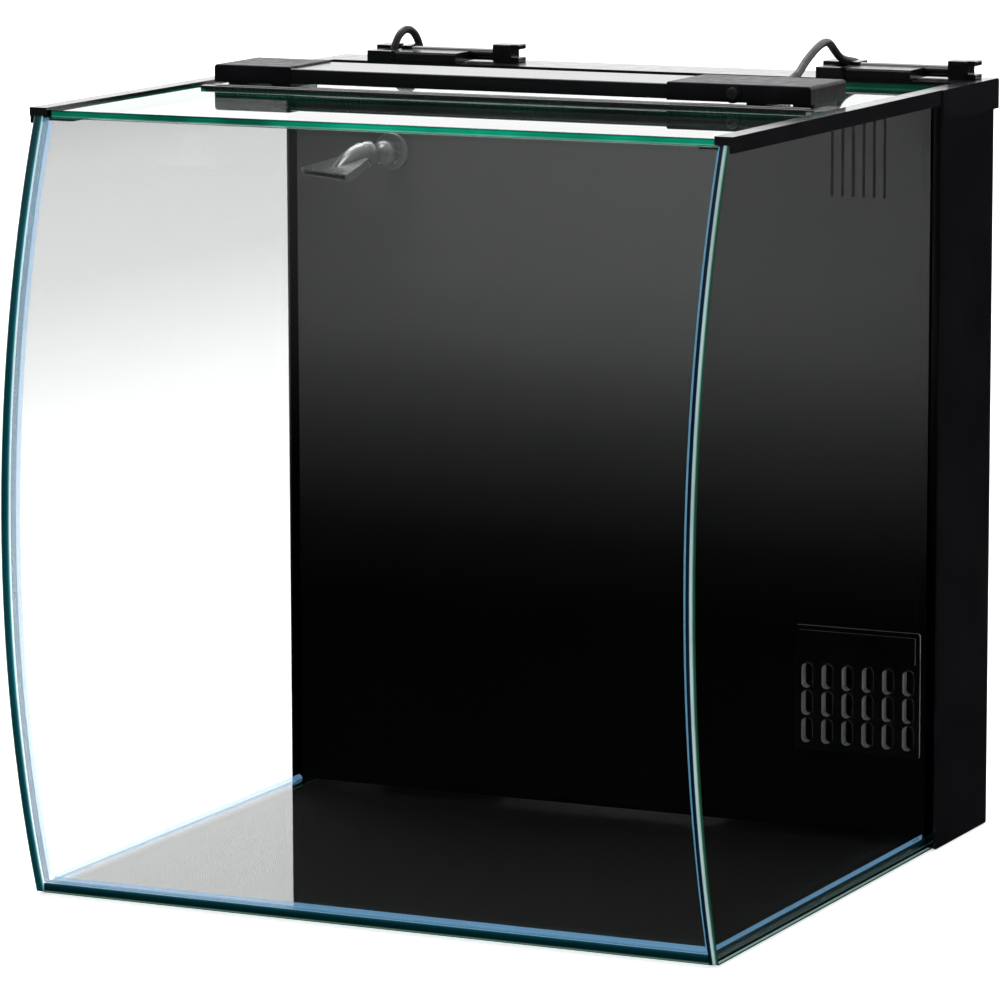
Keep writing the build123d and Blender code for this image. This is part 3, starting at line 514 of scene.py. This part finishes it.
def rampOf(tree, value, stops):
    ramp = addNode(tree, "ShaderNodeValToRGB")
    bar = ramp.color_ramp
    while len(bar.elements) < len(stops):
        bar.elements.new(0.5)
    for element, (place, colour) in zip(bar.elements, stops):
        element.position = place
        element.color = (*colour, 1.0)
    tree.links.new(value, ramp.inputs["Fac"])
    return ramp.outputs["Color"]


# painted light: how pale the partition's black face is painted from its foot to its top, palest under the
# lid
paintedSheetLevels = (
    (0.28, 0.0006), (0.37, 0.004), (0.44, 0.013), (0.52, 0.029), (0.59, 0.050), (0.66, 0.076),
    (0.74, 0.086), (0.90, 0.079), (1.0, 0.077),
)
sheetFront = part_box("partition")[0].y


# painted light: the partition's colour by height, with small random patches
def paintedSheetLight(tree, place):
    low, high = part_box("partition")
    height = ranged(tree, axisOf(tree, place, "Z"), low.z, high.z, 0.0, 1.0)
    lift = rampOf(tree, height, [(at, (grey, grey, grey)) for at, grey in paintedSheetLevels])
    patches = ranged(tree, noiseOn(tree, place, 14.0), 0.3, 0.7, 0.98, 1.02)
    shade = addNode(tree, "ShaderNodeVectorMath", operation="SCALE")
    tree.links.new(lift, shade.inputs[0])
    tree.links.new(patches, shade.inputs["Scale"])
    return shade.outputs["Vector"]


# clear float glass: its faces reflect more at a slant; its ground edges are deep green with painted
# highlight lines, painted dark bands and a painted glow, and with film its rear part is backed by an opaque
# sheet carrying the partition's painted light
def paneGlass(
        name, through, edgeAxis, edgeFrom, edgeTo, stops,
        streaks=(1.0, 1.0), glow=0.35, shadeVeil=None, film=False, sheen=5.0):
    material, tree, output = newMaterial(name)
    coordinates = addNode(tree, "ShaderNodeTexCoord")
    slant = addNode(tree, "ShaderNodeLayerWeight")
    slant.inputs["Blend"].default_value = 0.5
    power = calc(tree, "POWER", slant.outputs["Facing"], sheen)
    mirrorShare = ranged(tree, power, 0.0, 1.0, glassFacts["headOn"], 1.0)
    clear = addNode(tree, "ShaderNodeBsdfTransparent")
    clear.inputs["Color"].default_value = (*glassFacts["tint"], 1.0)
    # painted shade: the see-through part darkens with height
    if shadeVeil:
        height = ranged(tree, axisOf(tree, coordinates.outputs["Object"], "Z"), floorLow, lidLow, 0.0, 1.0)
        tree.links.new(rampOf(tree, height, shadeVeil), clear.inputs["Color"])
    mirror = addNode(tree, "ShaderNodeBsdfGlossy")
    mirror.inputs["Roughness"].default_value = 0.0
    mirror.inputs["Color"].default_value = (1, 1, 1, 1)
    face = addNode(tree, "ShaderNodeMixShader")
    tree.links.new(mirrorShare, face.inputs["Fac"])
    tree.links.new(clear.outputs[0], face.inputs[1])
    tree.links.new(mirror.outputs[0], face.inputs[2])
    edge = addNode(tree, "ShaderNodeBsdfPrincipled")
    across = ranged(tree, axisOf(tree, coordinates.outputs["Object"], edgeAxis), edgeFrom, edgeTo, 0.0, 1.0)
    colour = rampOf(tree, across, stops)
    along = noiseOn(tree, coordinates.outputs["Object"], 9.0, 4.0)
    shade = ranged(tree, along, 0.35, 0.65, *streaks)
    scaled = addNode(tree, "ShaderNodeVectorMath", operation="SCALE")
    tree.links.new(colour, scaled.inputs[0])
    tree.links.new(shade, scaled.inputs["Scale"])
    tree.links.new(scaled.outputs["Vector"], edge.inputs["Base Color"])
    # painted glow: the edge emits its own colour, though glass gives no light
    tree.links.new(scaled.outputs["Vector"], edge.inputs["Emission Color"])
    edge.inputs["Emission Strength"].default_value = glow
    edge.inputs["Roughness"].default_value = 0.12
    facing = calc(tree, "ABSOLUTE", axisOf(tree, coordinates.outputs["Normal"], through))
    isEdge = calc(tree, "LESS_THAN", facing, glassFacts["edgeLimit"])
    whole = addNode(tree, "ShaderNodeMixShader")
    tree.links.new(isEdge, whole.inputs["Fac"])
    tree.links.new(face.outputs[0], whole.inputs[1])
    tree.links.new(edge.outputs[0], whole.inputs[2])
    surface = whole.outputs[0]
    if film:
        # painted light: the backing carries the partition's colour gradient by height, paler towards the top
        backing = addNode(tree, "ShaderNodeBsdfPrincipled")
        tree.links.new(paintedSheetLight(tree, coordinates.outputs["Object"]), backing.inputs["Base Color"])
        backing.inputs["Roughness"].default_value = 0.5
        backing.inputs["Specular IOR Level"].default_value = 0.12
        atBack = calc(tree, "GREATER_THAN", axisOf(tree, coordinates.outputs["Object"], "Y"), sheetFront)
        backed = addNode(tree, "ShaderNodeMixShader")
        tree.links.new(atBack, backed.inputs["Fac"])
        tree.links.new(surface, backed.inputs[1])
        tree.links.new(backing.outputs[0], backed.inputs[2])
        surface = backed.outputs[0]
    tree.links.new(surface, output.inputs["Surface"])
    return material


# edge colours across each pane's thickness: deep green glass with painted highlight lines and painted dark
# bands
tealStops = [
    (0.0, (0.16, 0.30, 0.28)), (0.12, (0.002, 0.022, 0.026)), (0.62, (0.001, 0.040, 0.052)),
    (0.82, (0.02, 0.16, 0.19)), (0.95, (0.45, 0.72, 0.74)),
]
cornerStops = [
    (0.0, (0.0, 0.004, 0.008)), (0.34, (0.001, 0.010, 0.018)), (0.44, (0.30, 0.40, 0.46)),
    (0.62, (0.26, 0.38, 0.36)), (0.78, (0.01, 0.06, 0.03)), (1.0, (0.005, 0.03, 0.018)),
]
bottomStops = [
    (0.0, (0.0, 0.02, 0.012)), (0.12, (0.10, 0.20, 0.15)), (0.24, (0.0, 0.008, 0.008)),
    (0.7, (0.0, 0.014, 0.018)), (1.0, (0.003, 0.045, 0.06)),
]
lidStops = [
    (0.0, (0.10, 0.55, 0.34)), (0.3, (0.0, 0.20, 0.12)),
    (0.6, (0.0, 0.26, 0.15)), (1.0, (0.0, 0.035, 0.022)),
]
# painted shade: how much light the left pane lets through, darker towards its top, from its foot to its top
paintedShadeLevels = (
    (0.0, 0.99), (0.15, 0.975), (0.42, 0.906), (0.62, 0.837), (0.78, 0.718), (0.93, 0.675), (1.0, 0.61),
)
paintedShadeStops = [(at, (level, level, level)) for at, level in paintedShadeLevels]
plainStops = [(0.0, (0.002, 0.05, 0.045)), (1.0, (0.004, 0.09, 0.08))]

leftIn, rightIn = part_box("left_glass")[1].x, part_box("right_glass")[0].x
leftOut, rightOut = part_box("left_glass")[0].x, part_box("right_glass")[1].x
floorLow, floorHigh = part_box("bottom_glass")[0].z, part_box("bottom_glass")[1].z
lidLow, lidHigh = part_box("front_lid")[0].z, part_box("front_lid")[1].z

glassPanes = {
    "left_glass": paneGlass(
        "leftPane", "X", "X", leftOut, leftIn, tealStops, (0.8, 1.15), 0.2, paintedShadeStops, True),
    "right_glass": paneGlass("rightPane", "X", "X", rightIn, rightOut, cornerStops, (0.8, 1.2), film=True),
    "front_glass": paneGlass("frontPane", "Y", "Z", floorHigh, lidLow, plainStops),
    "back_glass": paneGlass("backPane", "Y", "Z", floorHigh, lidLow, plainStops),
    "bottom_glass": paneGlass("bottomPane", "Z", "Z", floorLow, floorHigh, bottomStops, sheen=3.2),
    "front_lid": paneGlass("frontLidPane", "Z", "Z", lidLow, lidHigh, lidStops, (0.25, 1.3), 0.6),
    "rear_lid": paneGlass("rearLidPane", "Z", "Z", lidLow, lidHigh, lidStops, (0.4, 1.1), 0.4),
}


def siliconeMaterial():
    material, tree, output = newMaterial("clearSilicone")
    surface = addNode(tree, "ShaderNodeBsdfPrincipled")
    place = objectPlace(tree)
    tone = ranged(tree, noiseOn(tree, place, 16.0), 0.35, 0.65, 0.0, 1.0)
    colour = mixColours(tree, tone, (0.05, 0.10, 0.15), (0.12, 0.20, 0.27))
    tree.links.new(colour, surface.inputs["Base Color"])
    tree.links.new(bumped(tree, noiseOn(tree, place, 420.0), 0.25, 0.0004), surface.inputs["Normal"])
    surface.inputs["Roughness"].default_value = 0.18
    # the joints round the black sheet hardly show, except along the floor's sides
    atBack = calc(tree, "GREATER_THAN", axisOf(tree, place, "Y"), sheetFront - 0.014)
    high = calc(tree, "GREATER_THAN", axisOf(tree, place, "Z"), floorHigh + 0.0032)
    inner = calc(tree, "LESS_THAN", calc(tree, "ABSOLUTE", axisOf(tree, place, "X")), rightIn - 0.002)
    hidden = calc(tree, "MULTIPLY", atBack, calc(tree, "MAXIMUM", high, inner))
    tree.links.new(ranged(tree, hidden, 0.0, 1.0, 0.28, 0.0), surface.inputs["Alpha"])
    # painted glow: the joints emit blue light, though silicone gives none
    surface.inputs["Emission Color"].default_value = (0.24, 0.52, 0.85, 1.0)
    surface.inputs["Emission Strength"].default_value = 0.9
    tree.links.new(surface.outputs["BSDF"], output.inputs["Surface"])
    return material


# open or closed foam: small cells pressed into the surface
def foamMaterial(name, dark, light, cell, depth, rough=0.95):
    material, tree, output = newMaterial(name)
    surface = addNode(tree, "ShaderNodeBsdfPrincipled")
    place = objectPlace(tree)
    cells = addNode(tree, "ShaderNodeTexVoronoi")
    cells.inputs["Scale"].default_value = cell
    tree.links.new(place, cells.inputs["Vector"])
    rim = ranged(tree, cells.outputs["Distance"], 0.1, 0.6, 0.0, 1.0)
    tree.links.new(mixColours(tree, rim, light, dark), surface.inputs["Base Color"])
    height = ranged(tree, cells.outputs["Distance"], 0.0, 0.7, 1.0, 0.0)
    tree.links.new(bumped(tree, height, 0.8, depth), surface.inputs["Normal"])
    surface.inputs["Roughness"].default_value = rough
    surface.inputs["Specular IOR Level"].default_value = 0.2
    tree.links.new(surface.outputs["BSDF"], output.inputs["Surface"])
    return material


# black sheet with painted light: its satin face is painted paler towards the top, under the lid
def partitionMaterial():
    material, tree, output = newMaterial("partitionSheet")
    surface = addNode(tree, "ShaderNodeBsdfPrincipled")
    place = objectPlace(tree)
    tree.links.new(paintedSheetLight(tree, place), surface.inputs["Base Color"])
    tree.links.new(bumped(tree, noiseOn(tree, place, 2600.0), 0.10, 0.0002), surface.inputs["Normal"])
    wear = noiseOn(tree, place, 60.0, 5.0)
    tree.links.new(ranged(tree, wear, 0.3, 0.7, 0.5, 0.62), surface.inputs["Roughness"])
    surface.inputs["Specular IOR Level"].default_value = 0.12
    tree.links.new(surface.outputs["BSDF"], output.inputs["Surface"])
    return material


# metal with fine lines along one axis
def brushedMaterial(name, dark, light, axis, rough, metallic=1.0):
    material, tree, output = newMaterial(name)
    surface = addNode(tree, "ShaderNodeBsdfPrincipled")
    mapping = addNode(tree, "ShaderNodeMapping")
    mapping.inputs["Scale"].default_value = [8.0 if k == axis else 2400.0 for k in "XYZ"]
    tree.links.new(objectPlace(tree), mapping.inputs["Vector"])
    lines = noiseOn(tree, mapping.outputs["Vector"], 1.0, 3.0)
    tree.links.new(mixColours(tree, lines, dark, light), surface.inputs["Base Color"])
    tree.links.new(ranged(tree, lines, 0.3, 0.7, rough * 0.8, rough * 1.25), surface.inputs["Roughness"])
    tree.links.new(bumped(tree, lines, 0.15, 0.0001), surface.inputs["Normal"])
    surface.inputs["Metallic"].default_value = metallic
    tree.links.new(surface.outputs["BSDF"], output.inputs["Surface"])
    return material


# glossy black plate whose slot walls are painted light grey and glow faintly: a painted highlight
def grilleMaterial():
    material, tree, output = newMaterial("grillePlate")
    surface = addNode(tree, "ShaderNodeBsdfPrincipled")
    coordinates = addNode(tree, "ShaderNodeTexCoord")
    place = coordinates.outputs["Object"]
    facing = calc(tree, "ABSOLUTE", axisOf(tree, coordinates.outputs["Normal"], "Y"))
    flat = calc(tree, "GREATER_THAN", facing, 0.6)
    tone = patchy(tree, place, 60.0, (0.002, 0.002, 0.002), (0.004, 0.004, 0.004))
    # painted highlight: slot walls light grey and faintly emitting, flat faces black
    tree.links.new(mixColours(tree, flat, (0.30, 0.30, 0.29), tone), surface.inputs["Base Color"])
    paintedGlint = mixColours(tree, flat, (0.022, 0.022, 0.021), (0.0, 0.0, 0.0))
    tree.links.new(paintedGlint, surface.inputs["Emission Color"])
    surface.inputs["Emission Strength"].default_value = 1.0
    surface.inputs["Roughness"].default_value = 0.2
    surface.inputs["Specular IOR Level"].default_value = 0.2
    tree.links.new(surface.outputs["BSDF"], output.inputs["Surface"])
    return material


# glossy outside, and the partition's painted light gradient on the faces seen through the glass
def coverMaterial():
    material, tree, output = newMaterial("leftCover")
    surface = addNode(tree, "ShaderNodeBsdfPrincipled")
    coordinates = addNode(tree, "ShaderNodeTexCoord")
    place = coordinates.outputs["Object"]
    outside = calc(tree, "LESS_THAN", axisOf(tree, coordinates.outputs["Normal"], "X"), -0.5)
    tone = patchy(tree, place, 25.0, (0.004, 0.004, 0.005), (0.006, 0.006, 0.007))
    tree.links.new(mixColours(tree, outside, paintedSheetLight(tree, place), tone), surface.inputs["Base Color"])
    tree.links.new(ranged(tree, outside, 0.0, 1.0, 0.5, 0.10), surface.inputs["Roughness"])
    surface.inputs["Specular IOR Level"].default_value = 0.2
    tree.links.new(surface.outputs["BSDF"], output.inputs["Surface"])
    return material


# white circuit board; its emitters stand lower and are yellow phosphor
def boardMaterial():
    material, tree, output = newMaterial("ledBoard")
    surface = addNode(tree, "ShaderNodeBsdfPrincipled")
    place = objectPlace(tree)
    low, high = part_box("led_board")
    emitter = calc(tree, "LESS_THAN", axisOf(tree, place, "Z"), low.z + 0.0007)
    blotch = ranged(tree, noiseOn(tree, place, 220.0), 0.4, 0.6, 0.0, 1.0)
    mask = mixColours(tree, blotch, (0.72, 0.73, 0.70), (0.82, 0.83, 0.80))
    tree.links.new(mixColours(tree, emitter, mask, (0.90, 0.72, 0.16)), surface.inputs["Base Color"])
    surface.inputs["Roughness"].default_value = 0.4
    tree.links.new(surface.outputs["BSDF"], output.inputs["Surface"])
    return material


blackGloss = moulded("rimPlastic", (0.0045, 0.0045, 0.0055), (0.007, 0.007, 0.0085), 0.16, 900.0, 0.03)
coverGloss = moulded("coverPlastic", (0.004, 0.004, 0.005), (0.006, 0.006, 0.007), 0.10, 500.0, 0.02, 25.0)
flapGloss = moulded("flapPlastic", (0.005, 0.005, 0.006), (0.008, 0.008, 0.010), 0.20, 1200.0, 0.05)
lightGloss = moulded(
    "lightPlastic", (0.004, 0.004, 0.006), (0.007, 0.007, 0.010), 0.42, 1500.0, 0.05, specular=0.12)
hingeGloss = moulded("hingePlastic", (0.008, 0.008, 0.009), (0.013, 0.013, 0.015), 0.18, 700.0, 0.04)
grilleSatin = moulded("grillePlastic", (0.006, 0.006, 0.0065), (0.010, 0.010, 0.011), 0.26, 1400.0, 0.06)
# return outlet: black plastic painted mid grey and part metallic, a painted sheen for its highlights
outletPaintedSheen = moulded(
    "outletPlasticPaintedSheen", (0.24, 0.245, 0.25), (0.30, 0.305, 0.31), 0.24, 900.0, 0.02, metallic=0.6)
pumpGloss = moulded("pumpPlastic", (0.006, 0.0065, 0.007), (0.010, 0.011, 0.012), 0.24, 900.0, 0.06)
buttonSatin = moulded("buttonPlastic", (0.010, 0.010, 0.011), (0.016, 0.016, 0.017), 0.3, 2000.0, 0.08)
basketGrain = moulded("basketPlastic", (0.010, 0.010, 0.011), (0.018, 0.018, 0.019), 0.5, 1600.0, 0.25)
pipeGloss = moulded("pipePlastic", (0.008, 0.008, 0.008), (0.012, 0.012, 0.012), 0.22, 600.0, 0.04)
rubberSoft = moulded("softRubber", (0.016, 0.016, 0.016), (0.028, 0.028, 0.028), 0.62, 1500.0, 0.15)
rotorDark = moulded("rotorPlastic", (0.05, 0.055, 0.07), (0.09, 0.10, 0.12), 0.45, 1200.0, 0.10)
shaftWhite = moulded("shaftCeramic", (0.80, 0.78, 0.74), (0.88, 0.87, 0.83), 0.25, 2500.0, 0.04)
cordSatin = moulded(
    "cordJacket", (0.008, 0.008, 0.009), (0.016, 0.016, 0.018), 0.45, 1400.0, 0.15, 70.0, 0.2)
plugGrain = moulded("plugPlastic", (0.014, 0.014, 0.015), (0.024, 0.024, 0.026), 0.55, 2200.0, 0.30)
tieSatin = moulded("tiePlastic", (0.03, 0.03, 0.03), (0.05, 0.05, 0.05), 0.5, 900.0, 0.2)
lensMilk = moulded("lensPlastic", (0.78, 0.80, 0.81), (0.86, 0.88, 0.89), 0.45, 1500.0, 0.08)

nodeMaterials = {
    **glassPanes,
    "silicone_seams": siliconeMaterial(),
    "leveling_mat": foamMaterial("matFoam", (0.016, 0.016, 0.015), (0.034, 0.034, 0.032), 900.0, 0.0004),
    "filter_sponge": foamMaterial("spongeFoam", (0.004, 0.004, 0.005), (0.030, 0.031, 0.034), 520.0, 0.0012),
    "ceramic_media": foamMaterial(
        "ringCeramic", (0.20, 0.17, 0.13), (0.80, 0.76, 0.68), 130.0, 0.0030, 0.85),
    "carbon_bag": foamMaterial("meshFabric", (0.010, 0.010, 0.011), (0.10, 0.10, 0.105), 700.0, 0.0006, 0.8),
    "partition": partitionMaterial(),
    "left_side_cover": coverMaterial(),
    "intake_grille": grilleMaterial(),
    "led_board": boardMaterial(),
    "light_housing": brushedMaterial(
        "barAluminium", (0.004, 0.004, 0.005), (0.008, 0.008, 0.010), "X", 0.16, 0.0),
    "left_flap_pin": brushedMaterial("pinSteel", (0.50, 0.50, 0.51), (0.66, 0.66, 0.67), "X", 0.28),
}
nodeMaterials["silicone_beads"] = nodeMaterials["silicone_seams"]
nodeMaterials["right_flap_pin"] = nodeMaterials["left_flap_pin"]
sharedMaterials = (
    (blackGloss, ("left_rail", "right_rail", "rear_deck")),
    (coverGloss, ("right_side_cover",)),
    (flapGloss, ("left_flap", "right_flap", "left_flap_bracket", "right_flap_bracket")),
    (lightGloss, ("light_left_cap", "light_right_cap")),
    (hingeGloss, ("lid_clip", "hinge_strip")),
    (grilleSatin, ("pump_divider", "media_divider")),
    (outletPaintedSheen, ("return_socket", "swivel_link", "return_nozzle")),
    (pumpGloss, ("pump_body", "pump_cover", "flow_slider")),
    (buttonSatin, ("power_button",)),
    (basketGrain, ("media_basket",)),
    (pipeGloss, ("return_pipe", "return_elbow")),
    (rubberSoft, ("light_feet", "light_gland", "suction_cups", "pump_gland")),
    (rotorDark, ("impeller",)),
    (shaftWhite, ("pump_shaft",)),
    (lensMilk, ("light_lens",)),
)
for material, names in sharedMaterials:
    for name in names:
        nodeMaterials[name] = material


def dress(piece, material):
    piece.data.materials.clear()
    piece.data.materials.append(material)


for name, material in nodeMaterials.items():
    dress(nodes[name], material)
for piece in (lightCordPiece, pumpCordPiece):
    dress(piece, cordSatin)
for piece in (lightSleeve, pumpSleeve):
    dress(piece, rubberSoft)
bladeBrass = brushedMaterial("bladeBrass", (0.58, 0.42, 0.18), (0.76, 0.58, 0.28), "X", 0.25)
for piece in (lightPlug, pumpPlug):
    dress(piece, plugGrain)
for piece in (lightBlades, pumpBlades):
    dress(piece, bladeBrass)
for piece in (lightTie, pumpTie):
    dress(piece, tieSatin)
print("materials assigned")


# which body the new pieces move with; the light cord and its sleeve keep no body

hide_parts("light_cord", "light_coil", "light_tail")
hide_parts("pump_cord", "pump_coil", "pump_tail")
for piece in (lightCordPiece, lightSleeve):
    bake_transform(piece)
for piece in (pumpCordPiece, pumpSleeve, lightTie, pumpTie, lightPlug, pumpPlug, lightBlades, pumpBlades):
    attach(piece, "tank")
for piece in (lightTie, pumpTie):
    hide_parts("cord_ties")
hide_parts("light_plug")
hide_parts("pump_plug")


# room: floor, lights and surroundings

roomFacts = {
    "floorSize": 60.0,
    "floorColour": (0.80, 0.80, 0.80),
    "floorGlow": 0.62,
    "sunStrength": 2.0,
    "sunAngle": 50.0,
    "backLevel": 1.5,
    "frontLevel": 0.35,
    "frontLamp": 18.0,
}


def addFloor(facts):
    bpy.ops.mesh.primitive_plane_add(size=facts["floorSize"], location=(0, 0, 0))
    floor = bpy.context.object
    floor.name = "floor"
    material, tree, output = newMaterial("paleFloor")
    surface = addNode(tree, "ShaderNodeBsdfPrincipled")
    tone = ranged(tree, noiseOn(tree, objectPlace(tree), 0.8), 0.3, 0.7, 0.0, 1.0)
    colour = facts["floorColour"]
    paler = tuple(c * 0.985 for c in colour)
    tree.links.new(mixColours(tree, tone, colour, paler), surface.inputs["Base Color"])
    surface.inputs["Emission Color"].default_value = (1, 1, 1, 1)
    surface.inputs["Emission Strength"].default_value = facts["floorGlow"]
    surface.inputs["Roughness"].default_value = 0.9
    surface.inputs["Specular IOR Level"].default_value = 0.0
    tree.links.new(surface.outputs["BSDF"], output.inputs["Surface"])
    dress(floor, material)
    floor.visible_glossy = False


# bright behind the tank and overhead, dim in front, dark under the horizon
def addWorld(facts):
    world = bpy.data.worlds.new("studio")
    bpy.context.scene.world = world
    world.use_nodes = True
    tree = world.node_tree
    tree.nodes.clear()
    output = addNode(tree, "ShaderNodeOutputWorld")
    background = addNode(tree, "ShaderNodeBackground")
    direction = addNode(tree, "ShaderNodeTexCoord").outputs["Generated"]
    behind = ranged(tree, axisOf(tree, direction, "Y"), -0.25, 0.35, 0.0, facts["backLevel"], True)
    above = ranged(tree, axisOf(tree, direction, "Z"), 0.0, 0.75, 0.0, facts["frontLevel"], True)
    upper = ranged(tree, axisOf(tree, direction, "Z"), -0.01, 0.05, 0.0, 1.0, True)
    level = calc(tree, "MULTIPLY", calc(tree, "MAXIMUM", behind, above), upper)
    seen = addNode(tree, "ShaderNodeLightPath").outputs["Is Camera Ray"]
    shown = addNode(tree, "ShaderNodeMix", data_type="FLOAT")
    tree.links.new(seen, shown.inputs["Factor"])
    tree.links.new(level, shown.inputs[2])
    shown.inputs[3].default_value = 1.0
    tree.links.new(shown.outputs[0], background.inputs["Color"])
    tree.links.new(background.outputs[0], output.inputs["Surface"])


def addLights(facts):
    bpy.ops.object.light_add(type="SUN", location=(-1, 2, 3))
    sun = bpy.context.object
    sun.name = "softSky"
    sun.data.energy = facts["sunStrength"]
    sun.data.angle = math.radians(facts["sunAngle"])
    sun.rotation_euler = (math.radians(-28), math.radians(-22), 0)
    bpy.ops.object.light_add(type="AREA", location=(-0.7, -1.0, 2.6))
    lamp = bpy.context.object
    lamp.name = "frontLamp"
    lamp.data.shape = "DISK"
    lamp.data.size = 1.4
    lamp.data.energy = facts["frontLamp"]
    lamp.rotation_euler = (Vector((0.1, 0.1, 0.35)) - lamp.location).to_track_quat("-Z", "Y").to_euler()


clearSelection()
addFloor(roomFacts)
addWorld(roomFacts)
addLights(roomFacts)
scene = bpy.context.scene
scene.view_settings.view_transform = "Standard"
scene.cycles.max_bounces = 16
scene.cycles.transparent_max_bounces = 48
scene.cycles.glossy_bounces = 6

print("done")
